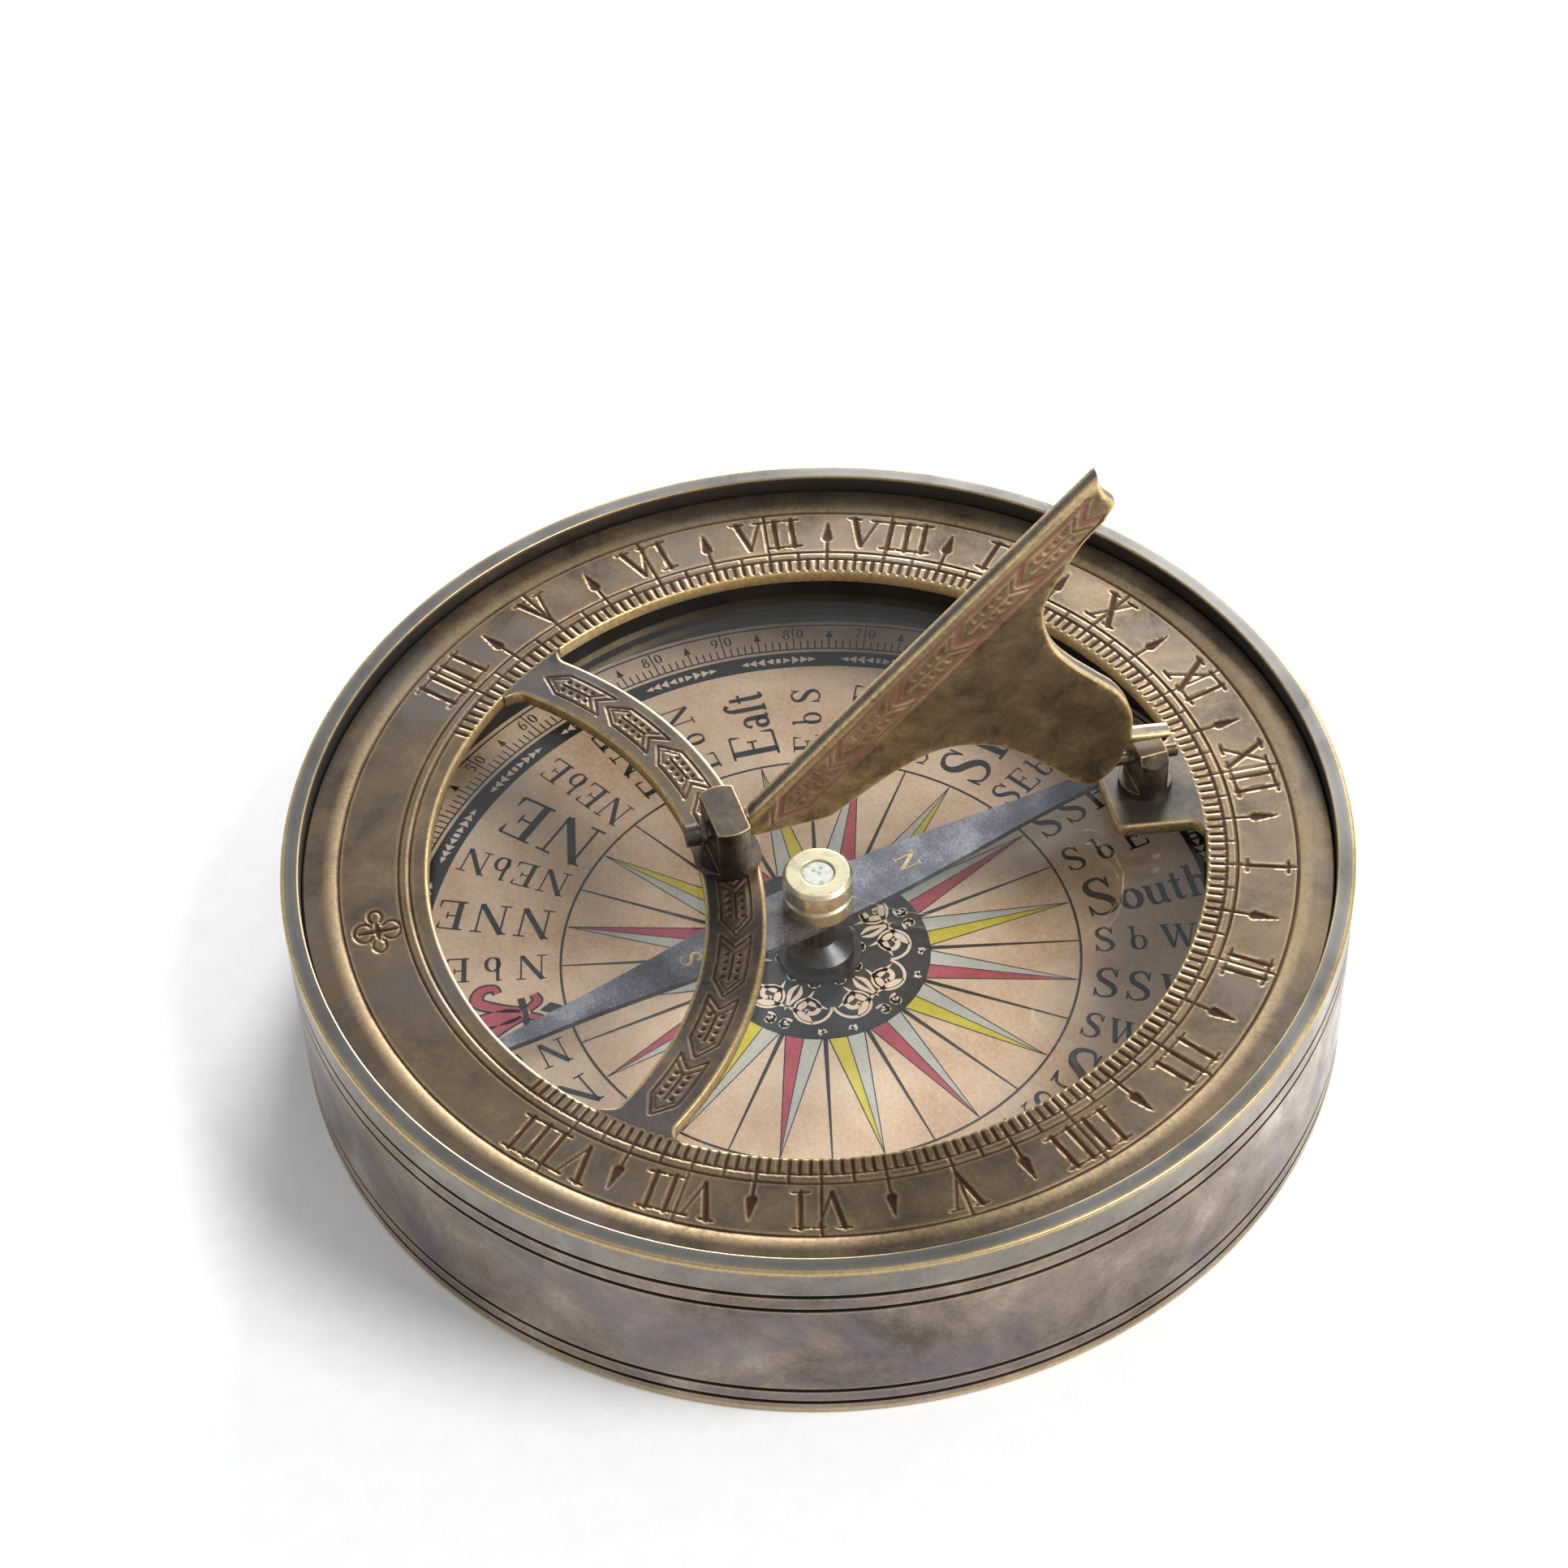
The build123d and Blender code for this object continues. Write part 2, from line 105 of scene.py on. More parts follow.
def aged_brass(name, shades, gold, blotch, roughness=0.36, tint=None, rings=0.0, edge=0.0,
               fill="#3f271d", painted_sky_tint=None, level_from=0.8, edge_above=None, tooth=0.25,
               cool_above=None):
    """Darkened brass. shades run from the deepest patina to the lightest, in blotches of
    that size in mm. gold shows where the "worn" attribute, or an outside edge, was rubbed
    bare, and fill lies where the "cut" attribute is laid: in the cuts, and on the case's
    bore also as painted shade. tint is a heat colour, the tint for faces that look straight
    up is a painted reflection of the darker sky above them, and rings is turning marks.
    Edges are rubbed only above the height edge_above, in mm, where it is given. tooth is
    how deep the grain is, and cool_above is a height and the colour that the patina
    drifts to above it."""
    material, tree, shader = new_material(name, Metallic=0.92)
    place = add(tree, "TexCoord").outputs["Object"]
    cloud = add(tree, "TexNoise", {"Vector": place, "Scale": 1 / (blotch * MM), "Detail": 6.0,
                                   "Roughness": 0.62, "Distortion": 0.4}).outputs["Fac"]
    grain = add(tree, "TexNoise", {"Vector": place, "Scale": 1 / (0.5 * MM), "Detail": 4.0,
                                   "Roughness": 0.7}).outputs["Fac"]
    both = add(tree, "Math", {0: grain, 1: 0.28, 2: -0.14}, operation="MULTIPLY_ADD").outputs[0]
    level = add(tree, "Math", {0: cloud, 1: both}, operation="ADD").outputs[0]
    base = add(tree, "ValToRGB", {"Fac": level},
               stops=[(0.3, shades[0]), (0.7, shades[-1])]
               + [(0.3 + 0.4 * (i + 1) / (len(shades) - 1), s)
                  for i, s in enumerate(shades[1:-1])]).outputs["Color"]
    if tint:
        drift = add(tree, "TexNoise", {"Vector": place, "Scale": 1 / (19 * MM), "Detail": 3.0,
                                       "Distortion": 1.0}).outputs["Fac"]
        share = add(tree, "MapRange", {"Value": drift, "From Min": 0.5, "From Max": 0.68,
                                       "To Max": 0.6}).outputs[0]
        base = add(tree, "Mix", {0: share, 6: base, 7: tint}, data_type="RGBA").outputs[2]
    if cool_above:
        height = add(tree, "SeparateXYZ", {0: place}).outputs[2]
        share = add(tree, "MapRange", {"Value": height, "From Min": cool_above[0] * MM,
                                       "From Max": (cool_above[0] + 1) * MM,
                                       "To Max": 0.4}).outputs[0]
        base = add(tree, "Mix", {0: share, 6: base, 7: cool_above[1]},
                   data_type="RGBA").outputs[2]
    # Faces that look straight up take this tint: a painted reflection of the darker sky above
    # them.
    if painted_sky_tint:
        facing = add(tree, "NewGeometry").outputs["Normal"]
        facing = add(tree, "SeparateXYZ", {0: facing}).outputs[2]
        share = add(tree, "MapRange", {"Value": facing, "From Min": level_from,
                                       "From Max": level_from + 0.14, "To Max": 0.8}).outputs[0]
        base = add(tree, "Mix", {0: share, 6: base, 7: painted_sky_tint}, data_type="RGBA").outputs[2]
    worn = add(tree, "Attribute", attribute_name="worn").outputs["Fac"]
    if edge:
        bevel = add(tree, "Bevel", {"Radius": edge * MM}, samples=6)
        normal = add(tree, "NewGeometry").outputs["Normal"]
        meet = add(tree, "VectorMath", {0: bevel.outputs[0], 1: normal},
                   operation="DOT_PRODUCT").outputs["Value"]
        rubbed = add(tree, "MapRange", {"Value": meet, "From Min": 0.995, "From Max": 0.93,
                                        "To Max": 0.9}).outputs[0]
        if edge_above:
            height = add(tree, "SeparateXYZ", {0: place}).outputs[2]
            above = add(tree, "MapRange", {"Value": height, "From Min": edge_above * MM,
                                           "From Max": (edge_above + 0.6) * MM,
                                           "To Min": 0.12}).outputs[0]
            rubbed = add(tree, "Math", {0: rubbed, 1: above}, operation="MULTIPLY").outputs[0]
        worn = add(tree, "Math", {0: worn, 1: rubbed}, operation="MAXIMUM").outputs[0]
    patchy = add(tree, "MapRange", {"Value": grain, "From Min": 0.35, "From Max": 0.6,
                                    "To Min": 0.55, "To Max": 1.1}).outputs[0]
    worn = add(tree, "Math", {0: worn, 1: patchy}, operation="MULTIPLY",
               use_clamp=True).outputs[0]
    base = add(tree, "Mix", {0: worn, 6: base, 7: gold}, data_type="RGBA").outputs[2]
    # The cut attribute lays the fill colour in engraved cuts; on the case's bore it also lays
    # painted shade.
    cut = add(tree, "Attribute", attribute_name="cut").outputs["Fac"]
    base = add(tree, "Mix", {0: cut, 6: base, 7: fill}, data_type="RGBA").outputs[2]
    tree.links.new(base, shader.inputs["Base Color"])
    dull = add(tree, "MapRange", {"Value": level, "From Min": 0.3, "From Max": 0.7,
                                  "To Min": roughness + 0.12, "To Max": roughness - 0.06})
    dull = add(tree, "Math", {0: cut, 1: 0.3, 2: dull.outputs[0]}, operation="MULTIPLY_ADD")
    tree.links.new(dull.outputs[0], shader.inputs["Roughness"])
    bumps = add(tree, "Bump", {"Strength": tooth, "Distance": 0.02 * MM, "Height": grain})
    if rings:
        apart = add(tree, "SeparateXYZ", {0: place}).outputs
        flat = add(tree, "CombineXYZ", {0: apart[0], 1: apart[1]}).outputs[0]
        reach = add(tree, "VectorMath", {0: flat}, operation="LENGTH").outputs["Value"]
        turn = add(tree, "CombineXYZ", {0: reach, 2: apart[2]}).outputs[0]
        marks = add(tree, "TexNoise", {"Vector": turn, "Scale": 1 / (rings * MM),
                                       "Detail": 2.0}).outputs["Fac"]
        bumps = add(tree, "Bump", {"Strength": 0.22, "Distance": 0.02 * MM, "Height": marks,
                                   "Normal": bumps.outputs[0]})
    if edge:
        tree.links.new(bevel.outputs[0], bumps.inputs["Normal"])
    tree.links.new(bumps.outputs[0], shader.inputs["Normal"])
    return material


CREASE = 35                                 # degrees at which an edge is drawn sharp


def put(name, points, faces, body, slot, material, **attributes):
    """Makes a piece from points in mm, with its attributes, material and body. slot is not used.
    """
    mesh = bpy.data.meshes.new(name)
    mesh.from_pydata((np.asarray(points, float) * MM).tolist(), [],
                     faces.tolist() if hasattr(faces, "tolist") else faces)
    for key, values in attributes.items():
        layer = mesh.attributes.new(key, "FLOAT", "POINT")
        layer.data.foreach_set("value", np.asarray(values, np.float32).ravel())
    mesh.shade_smooth()
    mesh.set_sharp_from_angle(angle=math.radians(CREASE))
    mesh.materials.append(material)
    piece = bpy.data.objects.new(name, mesh)
    bpy.context.scene.collection.objects.link(piece)
    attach(piece, body)
    return piece


def finish_node(name, material):
    """Gives a CAD node its material, in every slot it has."""
    mesh = cad[name].data
    for place in range(max(1, len(mesh.materials))):
        if place < len(mesh.materials):
            mesh.materials[place] = material
        else:
            mesh.materials.append(material)


def quads(rows, columns, wrap_rows=False, wrap_columns=False):
    """Faces of a grid of points that were laid out row by row."""
    r = np.arange(rows if wrap_rows else rows - 1)[:, None]
    c = np.arange(columns if wrap_columns else columns - 1)[None]
    up, on = (r + 1) % rows, (c + 1) % columns
    return np.stack([r * columns + c, r * columns + on, up * columns + on,
                     up * columns + c], -1).reshape(-1, 4)


def rounding(r0, z0, radius, start, end, steps=4):
    """Points of a quarter round about a centre, with degrees measured from +r."""
    angles = np.radians(np.linspace(start, end, steps + 1))
    return [(r0 + radius * math.cos(a), z0 + radius * math.sin(a), 1.0) for a in angles]


profile = [(WALL_BORE_R, 0, 0), (WALL_R - FOOT_ROUND, 0, 0.2)]
profile += rounding(WALL_R - FOOT_ROUND, FOOT_ROUND, FOOT_ROUND, -90, 0)
for height in WALL_LINES:
    profile += [(WALL_R, height - LINE_HALF - 0.3, 0.0), (WALL_R, height - LINE_HALF, 0.5),
                (WALL_R - 0.05, height - LINE_HALF + 0.06, -0.9),
                (WALL_R - LINE_DEPTH, height - 0.06, -1.0),
                (WALL_R - LINE_DEPTH, height + 0.06, -1.0), (WALL_R, height + LINE_HALF, 0.3),
                (WALL_R, height + LINE_HALF + 0.3, 0.0)]
profile += [(WALL_R, WALL_H - RIM_ROUND - 0.3, 0.1)]
profile += rounding(WALL_R - RIM_ROUND, WALL_H - RIM_ROUND, RIM_ROUND, 0, 90)
profile += [(WALL_R - RIM_ROUND - 0.2, WALL_H, 0.15), (54.0, WALL_H, 0.0),
            (WALL_BORE_R + BORE_ROUND + 0.1, WALL_H, 0.1)]
profile += [(across, up, 0.65) for across, up, _ in
            rounding(WALL_BORE_R + BORE_ROUND, WALL_H - BORE_ROUND, BORE_ROUND, 90, 180)]
# The bore below its rounding takes the dark fill: unrubbed patina, deepened by painted shade in
# the recess above the plate.
profile += [(WALL_BORE_R, WALL_H - 0.45, -0.55), (WALL_BORE_R, WALL_H - 2.5, -0.8)]
section = np.array(profile)
turn = np.linspace(0, 2 * np.pi, WALL_SEGMENTS, endpoint=False)
wall = np.stack([section[:, :1] * np.cos(turn), section[:, :1] * np.sin(turn),
                 np.repeat(section[:, 1:2], WALL_SEGMENTS, 1)], -1).reshape(-1, 3)
wear_cut_and_shade = np.repeat(section[:, 2], WALL_SEGMENTS)
# Case brass: grey-brown patina in cloudy blotches with violet heat colours and fine rings.
# Faces that look up, such as the rim's top, take a painted grey sky reflection.
case_brass = aged_brass("aged_brass_turned_case",
                        ("#5f5349", "#7f7166", "#968777", "#b3a899"), "#c4ab7a", 10.0,
                        roughness=0.3, tint="#6b6472", rings=0.35, painted_sky_tint="#686868",
                        fill="#17110e", cool_above=(WALL_LINES[-1], "#848a89"))
shell = put("case_shell", wall, quads(len(section), WALL_SEGMENTS, True, True), "case",
            "aged_brass_case", case_brass, worn=np.clip(wear_cut_and_shade, 0, 1), cut=np.clip(-wear_cut_and_shade, 0, 1))
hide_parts("case_wall")

# ---- floor and pivot screw ---------------------------------------------------------------
# A plain brass disc closes the bottom, and a slotted countersunk screw in it holds the
# pivot's pedestal. The disc was darkened with the case, and the screw was left bright.
finish_node("case_floor", case_brass)
# Bright turned brass: pale gold with faint tool rings, and whiter along its edges.
bright_brass = aged_brass("bright_brass_turned", ("#c9b792", "#dccdae", "#ebdfc6"), "#f6ebd0",
                          3.0, roughness=0.26, rings=0.12, edge=0.2)
finish_node("pedestal_screw", bright_brass)

# ---- backing board and printed card --------------------------------------------------------
# The compass card is printed paper on grey board. The paper has aged to a mottled pinkish
# beige, darker in soft stains, with short fibres showing.
# Grey board: pressed pulp, a dull grey with short fibres.
board, tree, shader = new_material("grey_board_pressed", Roughness=0.9, IOR=1.45)
place = add(tree, "TexCoord").outputs["Object"]
fibres = add(tree, "TexNoise", {"Vector": place, "Scale": 1 / (0.3 * MM), "Detail": 4.0})
shade = add(tree, "ValToRGB", {"Fac": fibres.outputs["Fac"]},
            stops=[(0.3, "#7b766e"), (0.7, "#99938a")])
tree.links.new(shade.outputs[0], shader.inputs["Base Color"])
finish_node("backing_board", board)


def printed(name, shades):
    """Printed paper: an ink or the bare sheet, broken up by the paper's own mottling."""
    material, tree, shader = new_material(name, Roughness=0.62, IOR=1.45)
    place = add(tree, "TexCoord").outputs["Object"]
    stains = add(tree, "TexNoise", {"Vector": place, "Scale": 1 / (11 * MM), "Detail": 5.0,
                                    "Roughness": 0.6}).outputs["Fac"]
    fibres = add(tree, "TexNoise", {"Vector": place, "Scale": 1 / (0.45 * MM),
                                    "Detail": 3.0}).outputs["Fac"]
    level = add(tree, "Math", {0: fibres, 1: 0.45, 2: stains}, operation="MULTIPLY_ADD")
    tone = add(tree, "ValToRGB", {"Fac": level.outputs[0]},
               stops=[(0.5, shades[0]), (0.95, shades[2]), (0.72, shades[1])])
    tree.links.new(tone.outputs[0], shader.inputs["Base Color"])
    bump = add(tree, "Bump", {"Strength": 0.2, "Distance": 0.03 * MM, "Height": fibres})
    tree.links.new(bump.outputs[0], shader.inputs["Normal"])
    return material


# Aged paper: uncoated, so it is matt, blotched and slightly fibrous.
paper = printed("aged_paper_mottled", ("#bd9476", "#d6b195", "#e6c9b0"))
finish_node("compass_card", paper)

# ---- card print --------------------------------------------------------------------------
# The print is laid as thin flat layers of ink: the black key with its letters, scales and
# scrolled centre, and the red, yellow and grey halves of the sixteen rays.
CARD_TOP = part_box("compass_card")[1].z / MM
CARD_TURN = -1.5                            # degrees that the card sits off the noon line
INK_STEP = 0.008
THICK, THIN, SERIF = 0.16, 0.055, 0.05      # stroke widths as shares of the capital height


def oval(x, y, rx, ry, thick, thin, steps=16):
    """A closed oval stroke, thick at its sides."""
    return [(x + rx * math.cos(a), y + ry * math.sin(a),
             thin + (thick - thin) * abs(math.cos(a)))
            for a in np.linspace(0, 2 * math.pi, steps + 1)]


def bar(x0, x1, y, width=SERIF):
    return [(x0, y, width), (x1, y, width)]


def stem(x, y0, y1, width=THICK):
    return [(x, y0, width), (x, y1, width)]


# The letters of the card, the plate and the needle: each one's width and its strokes, in
# shares of the capital height. "f" is the long s.
LETTERS = {
    "N": (1.0, [stem(.16, 0, 1, THIN), [(.13, 1, THICK), (.80, .02, THICK)],
                stem(.82, 0, 1, THIN), bar(0, .32, .025), bar(0, .2, .975), bar(.66, .98, .975)]),
    "E": (.82, [stem(.2, 0, 1), bar(.03, .7, .975), bar(.03, .74, .025, .06), bar(.2, .5, .52),
                [(.69, .97, .09), (.67, .74, .02)], [(.73, .03, .1), (.75, .28, .02)],
                stem(.5, .41, .63, .05)]),
    "S": (.68, [[(.56, .76, .05), (.45, .95, .07), (.3, .97, .08), (.15, .89, .11),
                 (.11, .74, .14), (.19, .6, .17), (.35, .5, .18), (.5, .39, .17),
                 (.57, .24, .15), (.5, .09, .1), (.33, .02, .07), (.15, .06, .06),
                 (.06, .24, .05)], stem(.57, .7, .98, .05), stem(.05, .02, .3, .05)]),
    "W": (1.22, [[(.12, .98, THICK), (.4, .03, THICK)], [(.4, .03, THIN), (.62, .98, THIN)],
                 [(.57, .98, THICK), (.85, .03, THICK)], [(.85, .03, THIN), (1.08, .98, THIN)],
                 bar(0, .28, .975), bar(.45, .72, .975), bar(.95, 1.2, .975)]),
    "b": (.62, [stem(.15, .04, 1, .11), bar(.02, .15, .96), oval(.32, .31, .21, .28, .13, .05)]),
    "a": (.54, [[(.08, .47, .09), (.14, .59, .05), (.27, .62, .06), (.36, .54, .1),
                 (.38, .4, .11), (.38, .12, .11), (.43, .03, .07), (.5, .06, .03)],
                oval(.22, .18, .14, .14, .1, .05)]),
    "e": (.54, [[(.08, .32, .05), (.44, .34, .05), (.4, .52, .08), (.26, .61, .07),
                 (.1, .5, .11), (.06, .3, .13), (.12, .1, .11), (.28, .02, .06),
                 (.45, .12, .04)]]),
    "f": (.34, [stem(.14, .02, .8, .11), [(.14, .78, .11), (.18, .93, .08), (.28, 1., .07),
                                          (.37, .93, .1)], bar(.03, .26, .02)]),
    "t": (.38, [[(.15, .84, .08), (.15, .16, .11), (.2, .04, .08), (.32, .07, .03)],
                bar(.02, .31, .6)]),
    "o": (.58, [oval(.28, .31, .21, .28, .13, .05)]),
    "u": (.64, [[(.14, .6, .11), (.14, .2, .11), (.2, .04, .08), (.33, .03, .05),
                 (.43, .13, .04)], stem(.46, .02, .6, .11), bar(.02, .14, .59), bar(.35, .46, .59),
                bar(.46, .57, .02)]),
    "h": (.66, [stem(.15, .02, 1, .11), [(.16, .44, .04), (.27, .6, .07), (.41, .57, .1),
                                         (.46, .42, .11), (.46, .02, .11)],
                bar(.03, .27, .02), bar(.35, .58, .02), bar(.02, .15, .97)]),
    "I": (.4, [stem(.21, 0, 1, .1), bar(.03, .39, .025), bar(.03, .39, .975)]),
    "V": (.86, [[(.14, .98, .12), (.43, .03, .1)], [(.43, .03, .05), (.72, .98, .05)],
                bar(0, .3, .975), bar(.58, .86, .975)]),
    "X": (.86, [[(.14, .98, .12), (.72, .02, .12)], [(.14, .02, .05), (.72, .98, .05)],
                bar(0, .3, .975), bar(.57, .86, .975), bar(0, .3, .025), bar(.56, .86, .025)]),
    "0": (.62, [oval(.31, .5, .2, .44, .15, .06)]),
    "1": (.5, [stem(.27, 0, .96, .15), [(.27, .94, .08), (.1, .8, .06)], bar(.1, .44, .03)]),
    "2": (.6, [[(.1, .72, .13), (.18, .92, .08), (.36, .93, .11), (.48, .76, .15),
                (.4, .5, .13), (.1, .07, .07)], bar(.08, .52, .06, .12)]),
    "3": (.6, [[(.1, .85, .1), (.28, .95, .09), (.45, .82, .14), (.42, .62, .12),
                (.24, .52, .06)], [(.24, .52, .06), (.44, .44, .12), (.5, .26, .15),
                                   (.36, .05, .1), (.1, .12, .1)]]),
    "4": (.62, [stem(.42, 0, .95, .14), [(.42, .95, .07), (.06, .3, .07)], bar(.06, .58, .28)]),
    "5": (.6, [bar(.14, .5, .92, .12), [(.15, .92, .06), (.12, .52, .06)],
               [(.12, .52, .06), (.34, .6, .1), (.5, .36, .15), (.38, .08, .11),
                (.1, .08, .1)]]),
    "6": (.62, [oval(.31, .3, .19, .26, .14, .07), [(.46, .93, .07), (.22, .75, .12),
                                                    (.13, .4, .15)]]),
    "7": (.56, [bar(.06, .5, .92, .13), [(.5, .9, .06), (.3, .45, .12), (.22, .02, .16)]]),
    "8": (.62, [oval(.31, .72, .15, .22, .12, .07), oval(.31, .26, .2, .25, .14, .07)]),
    "9": (.62, [oval(.31, .68, .19, .26, .14, .07), [(.16, .05, .07), (.4, .22, .12),
                                                     (.49, .58, .15)]]),
}


def eased(stroke, steps=5):
    """The same stroke with smooth bends, through the same points."""
    if len(stroke) < 3:
        return list(stroke)
    p = np.array(stroke, float)
    p = np.vstack([2 * p[0] - p[1], p, 2 * p[-1] - p[-2]])
    out = []
    for a, b, c, d in zip(p, p[1:], p[2:], p[3:]):
        for t in np.arange(steps) / steps:
            out.append(b + 0.5 * t * (c - a + t * (2 * a - 5 * b + 4 * c - d
                                                   + t * (3 * (b - c) + d - a))))
    return [tuple(q) for q in out] + [tuple(p[-2])]


def on_face(strokes, origin, along, up, size=1.0):
    """Strokes moved from their own small frame to the face they are drawn on."""
    return [[(origin[0] + size * (x * along[0] + y * up[0]),
              origin[1] + size * (x * along[1] + y * up[1]), size * w) for x, y, w in s]
            for s in strokes]


SMALL_HEAVY = 1.35                           # small letters are cut with heavier strokes


def word(text, origin, along, up, height, gap=0.1, rest=None):
    """The strokes of a word. rest is the height of the letters after the first."""
    strokes, start, size = [], 0.0, height
    for letter in text:
        width, shapes = LETTERS[letter]
        at = (origin[0] + start * along[0], origin[1] + start * along[1])
        if size < height:
            shapes = [[(x, y, w * SMALL_HEAVY) for x, y, w in s] for s in shapes]
        strokes += on_face([eased(s) for s in shapes], at, along, up, size)
        start += (width + gap) * size
        size = rest or height
    return strokes, start - gap * size


def spot(bearing, radius):
    """A place on the card or the hour plate, from degrees clockwise of noon."""
    a = math.radians(bearing)
    return radius * math.sin(a), radius * math.cos(a)


def outward(bearing):
    return spot(bearing, 1.0)


def leftward(bearing):
    """The direction against the clock at a bearing."""
    a = math.radians(bearing)
    return -math.cos(a), math.sin(a)


def round_line(radius, width, steps=288):
    return [(*spot(360 * i / steps, radius), width) for i in range(steps + 1)]


def ribbons(strokes, height):
    """Flat strips for the strokes of a print."""
    points, faces = [], []
    for stroke in strokes:
        p = np.array(stroke, float)
        if len(p) > 2:
            run = np.gradient(p[:, :2], axis=0)
        else:
            run = np.repeat(p[1:, :2] - p[:1, :2], 2, 0)
        if len(p) > 3 and np.allclose(p[0, :2], p[-1, :2]):
            run[0] = run[-1] = p[1, :2] - p[-2, :2]
        run /= np.maximum(np.linalg.norm(run, axis=1, keepdims=True), 1e-9)
        side = np.stack([-run[:, 1], run[:, 0]], 1) * np.maximum(p[:, 2:], 0.01) / 2
        base = len(points)
        for left, right in zip(p[:, :2] + side, p[:, :2] - side):
            points += [(*right, height), (*left, height)]
        faces += [(base + 2 * i, base + 2 * i + 2, base + 2 * i + 3, base + 2 * i + 1)
                  for i in range(len(p) - 1)]
    return points, faces


NORTH = 180 + CARD_TURN
SCALE_OUT, SCALE_IN = 48.8, 45.1            # radii of the scale of degrees
FIGURE_FOOT, FIGURE = 46.8, 1.5             # its figures, from their foot, and their height
LEAF_R, LEAF_WIDTH = 43.45, 2.3             # the black band with its leaves
WORD_START, RAY_RING = 29.1, 27.6          # where the words start, and the circle inside them
MEDAL_R, MEDAL_WIDTH = 6.9, 9.6             # the black band behind the scrolls
LABELS = ("NbE NNE NEbN NE NEbE ENE EbN Eaft EbS ESE SEbE SE SEbS SSE SbE South "
          "SbW SSW SWbS SW SWbW WSW WbS Weft WbN WNW NWbW NW NWbN NNW NbW").split()
key, cream, red, yellow, grey = [], [], [], [], []
for i, label in enumerate(LABELS):
    bearing = NORTH + 11.25 * (i + 1)
    along, up = outward(bearing), leftward(bearing)
    if label in ("Eaft", "South", "Weft"):
        height, rest, gap = 5.2, 4.5, 0.02
    elif "b" in label:
        height, rest, gap = 3.3, 3.3, (0.12 if len(label) > 3 else 0.42)
    else:
        height, rest, gap = (5.7, 5.7, 0.12) if len(label) == 2 else (4.0, 4.0, 0.18)
    x, y = spot(bearing, WORD_START)
    origin = (x - up[0] * height / 2, y - up[1] * height / 2)
    key += word(label, origin, along, up, height, gap, rest)[0]
key += [round_line(SCALE_OUT, 0.22), round_line(SCALE_IN, 0.2), round_line(LEAF_R, LEAF_WIDTH),
        round_line(RAY_RING, 0.28), round_line(MEDAL_R, MEDAL_WIDTH, 144)]
for degree in range(360):
    bearing = NORTH + degree
    out = outward(bearing)
    if degree % 10 == 0:
        key.append([(*spot(bearing, SCALE_IN), 0.16), (*spot(bearing, SCALE_OUT), 0.16)])
        number = degree % 180
        number = 180 - number if number > 90 else number
        if number:
            tens, zero = str(number)
            along = (-leftward(bearing)[0], -leftward(bearing)[1])
            for digit, shift in ((tens, -1.25), (zero, 0.3)):
                x, y = spot(bearing, FIGURE_FOOT)
                start = (x + along[0] * shift, y + along[1] * shift)
                key += word(digit, start, along, out, FIGURE)[0]
    elif degree % 5 == 0:
        key += [[(*spot(bearing, SCALE_IN), 0.16), (*spot(bearing, 47.4), 0.16)],
                [(*spot(bearing, 46.9), 0.8), (*spot(bearing, 48.1), 0.02)]]
    else:
        key.append([(*spot(bearing, SCALE_IN), 0.17), (*spot(bearing, 46.4), 0.17)])
for i in range(24):
    middle = NORTH + 7.5 + 15 * i
    for way in (-1, 1):
        for reach, size in ((0.55, 0.9), (1.55, 1.2), (2.5, 1.05), (3.4, 0.7)):
            step = math.degrees(way / LEAF_R)
            tip = spot(middle + step * (reach + 0.85), LEAF_R)
            root = spot(middle + step * reach, LEAF_R)
            cream.append([(*root, size), (tip[0], tip[1], 0.03)])
    cream.append([(*spot(middle, 43.1), 0.5), (*spot(middle, 43.8), 0.5)])
RAY_FOOT, RAY_TIP, RAY_HALF = 11.6, 27.4, 9.6
for i in range(16):
    bearing = NORTH + 22.5 * i
    tip = spot(bearing, RAY_TIP)
    for way, ink in ((-1, grey), (1, yellow if i % 2 == 0 else red)):
        foot, middle = spot(bearing + way * RAY_HALF, RAY_FOOT), spot(bearing, RAY_FOOT)
        ink.append((tip, foot, middle))
        key.append([(*tip, 0.1), (*foot, 0.14)])
    key.append([(*tip, 0.08), (*spot(bearing, RAY_FOOT), 0.12)])
    between = bearing + 11.25
    key.append([(*spot(between, RAY_FOOT), 0.5), (*spot(between, 27.5), 0.16)])


def scroll(x, y, radius, turns, way, start, heavy):
    """An acanthus scroll: a stem that winds in, with leaves inside it and a bud."""
    strokes, steps = [], 30
    stem_line = []
    for k in range(steps + 1):
        t = k / steps
        a = start + way * turns * 2 * math.pi * t
        r = radius * (1 - 0.8 * t ** 0.9)
        stem_line.append((x + r * math.cos(a), y + r * math.sin(a), 0.3 + heavy * 0.5 * t))
    strokes.append(stem_line)
    end = stem_line[-1]
    strokes.append([(end[0] - 0.2, end[1], 0.5), (end[0] + 0.2, end[1], 0.5)])
    for t0, length in ((0.18, 0.75), (0.34, 0.85), (0.52, 0.7)):
        px, py, _ = stem_line[int(t0 * steps)]
        qx, qy, _ = stem_line[int(t0 * steps) + 4]
        inward = ((x - px) * length * 0.62, (y - py) * length * 0.62)
        lead = ((qx - px) * 0.9, (qy - py) * 0.9)
        strokes.append(eased([(px, py, 0.1), (px + lead[0] * 0.5 + inward[0] * 0.35,
                                              py + lead[1] * 0.5 + inward[1] * 0.35, heavy * 1.5),
                              (px + lead[0] + inward[0] * 0.8, py + lead[1] + inward[1] * 0.8,
                               heavy * 0.9), (px + lead[0] * 1.9 + inward[0],
                                              py + lead[1] * 1.9 + inward[1], 0.04)]))
    return strokes


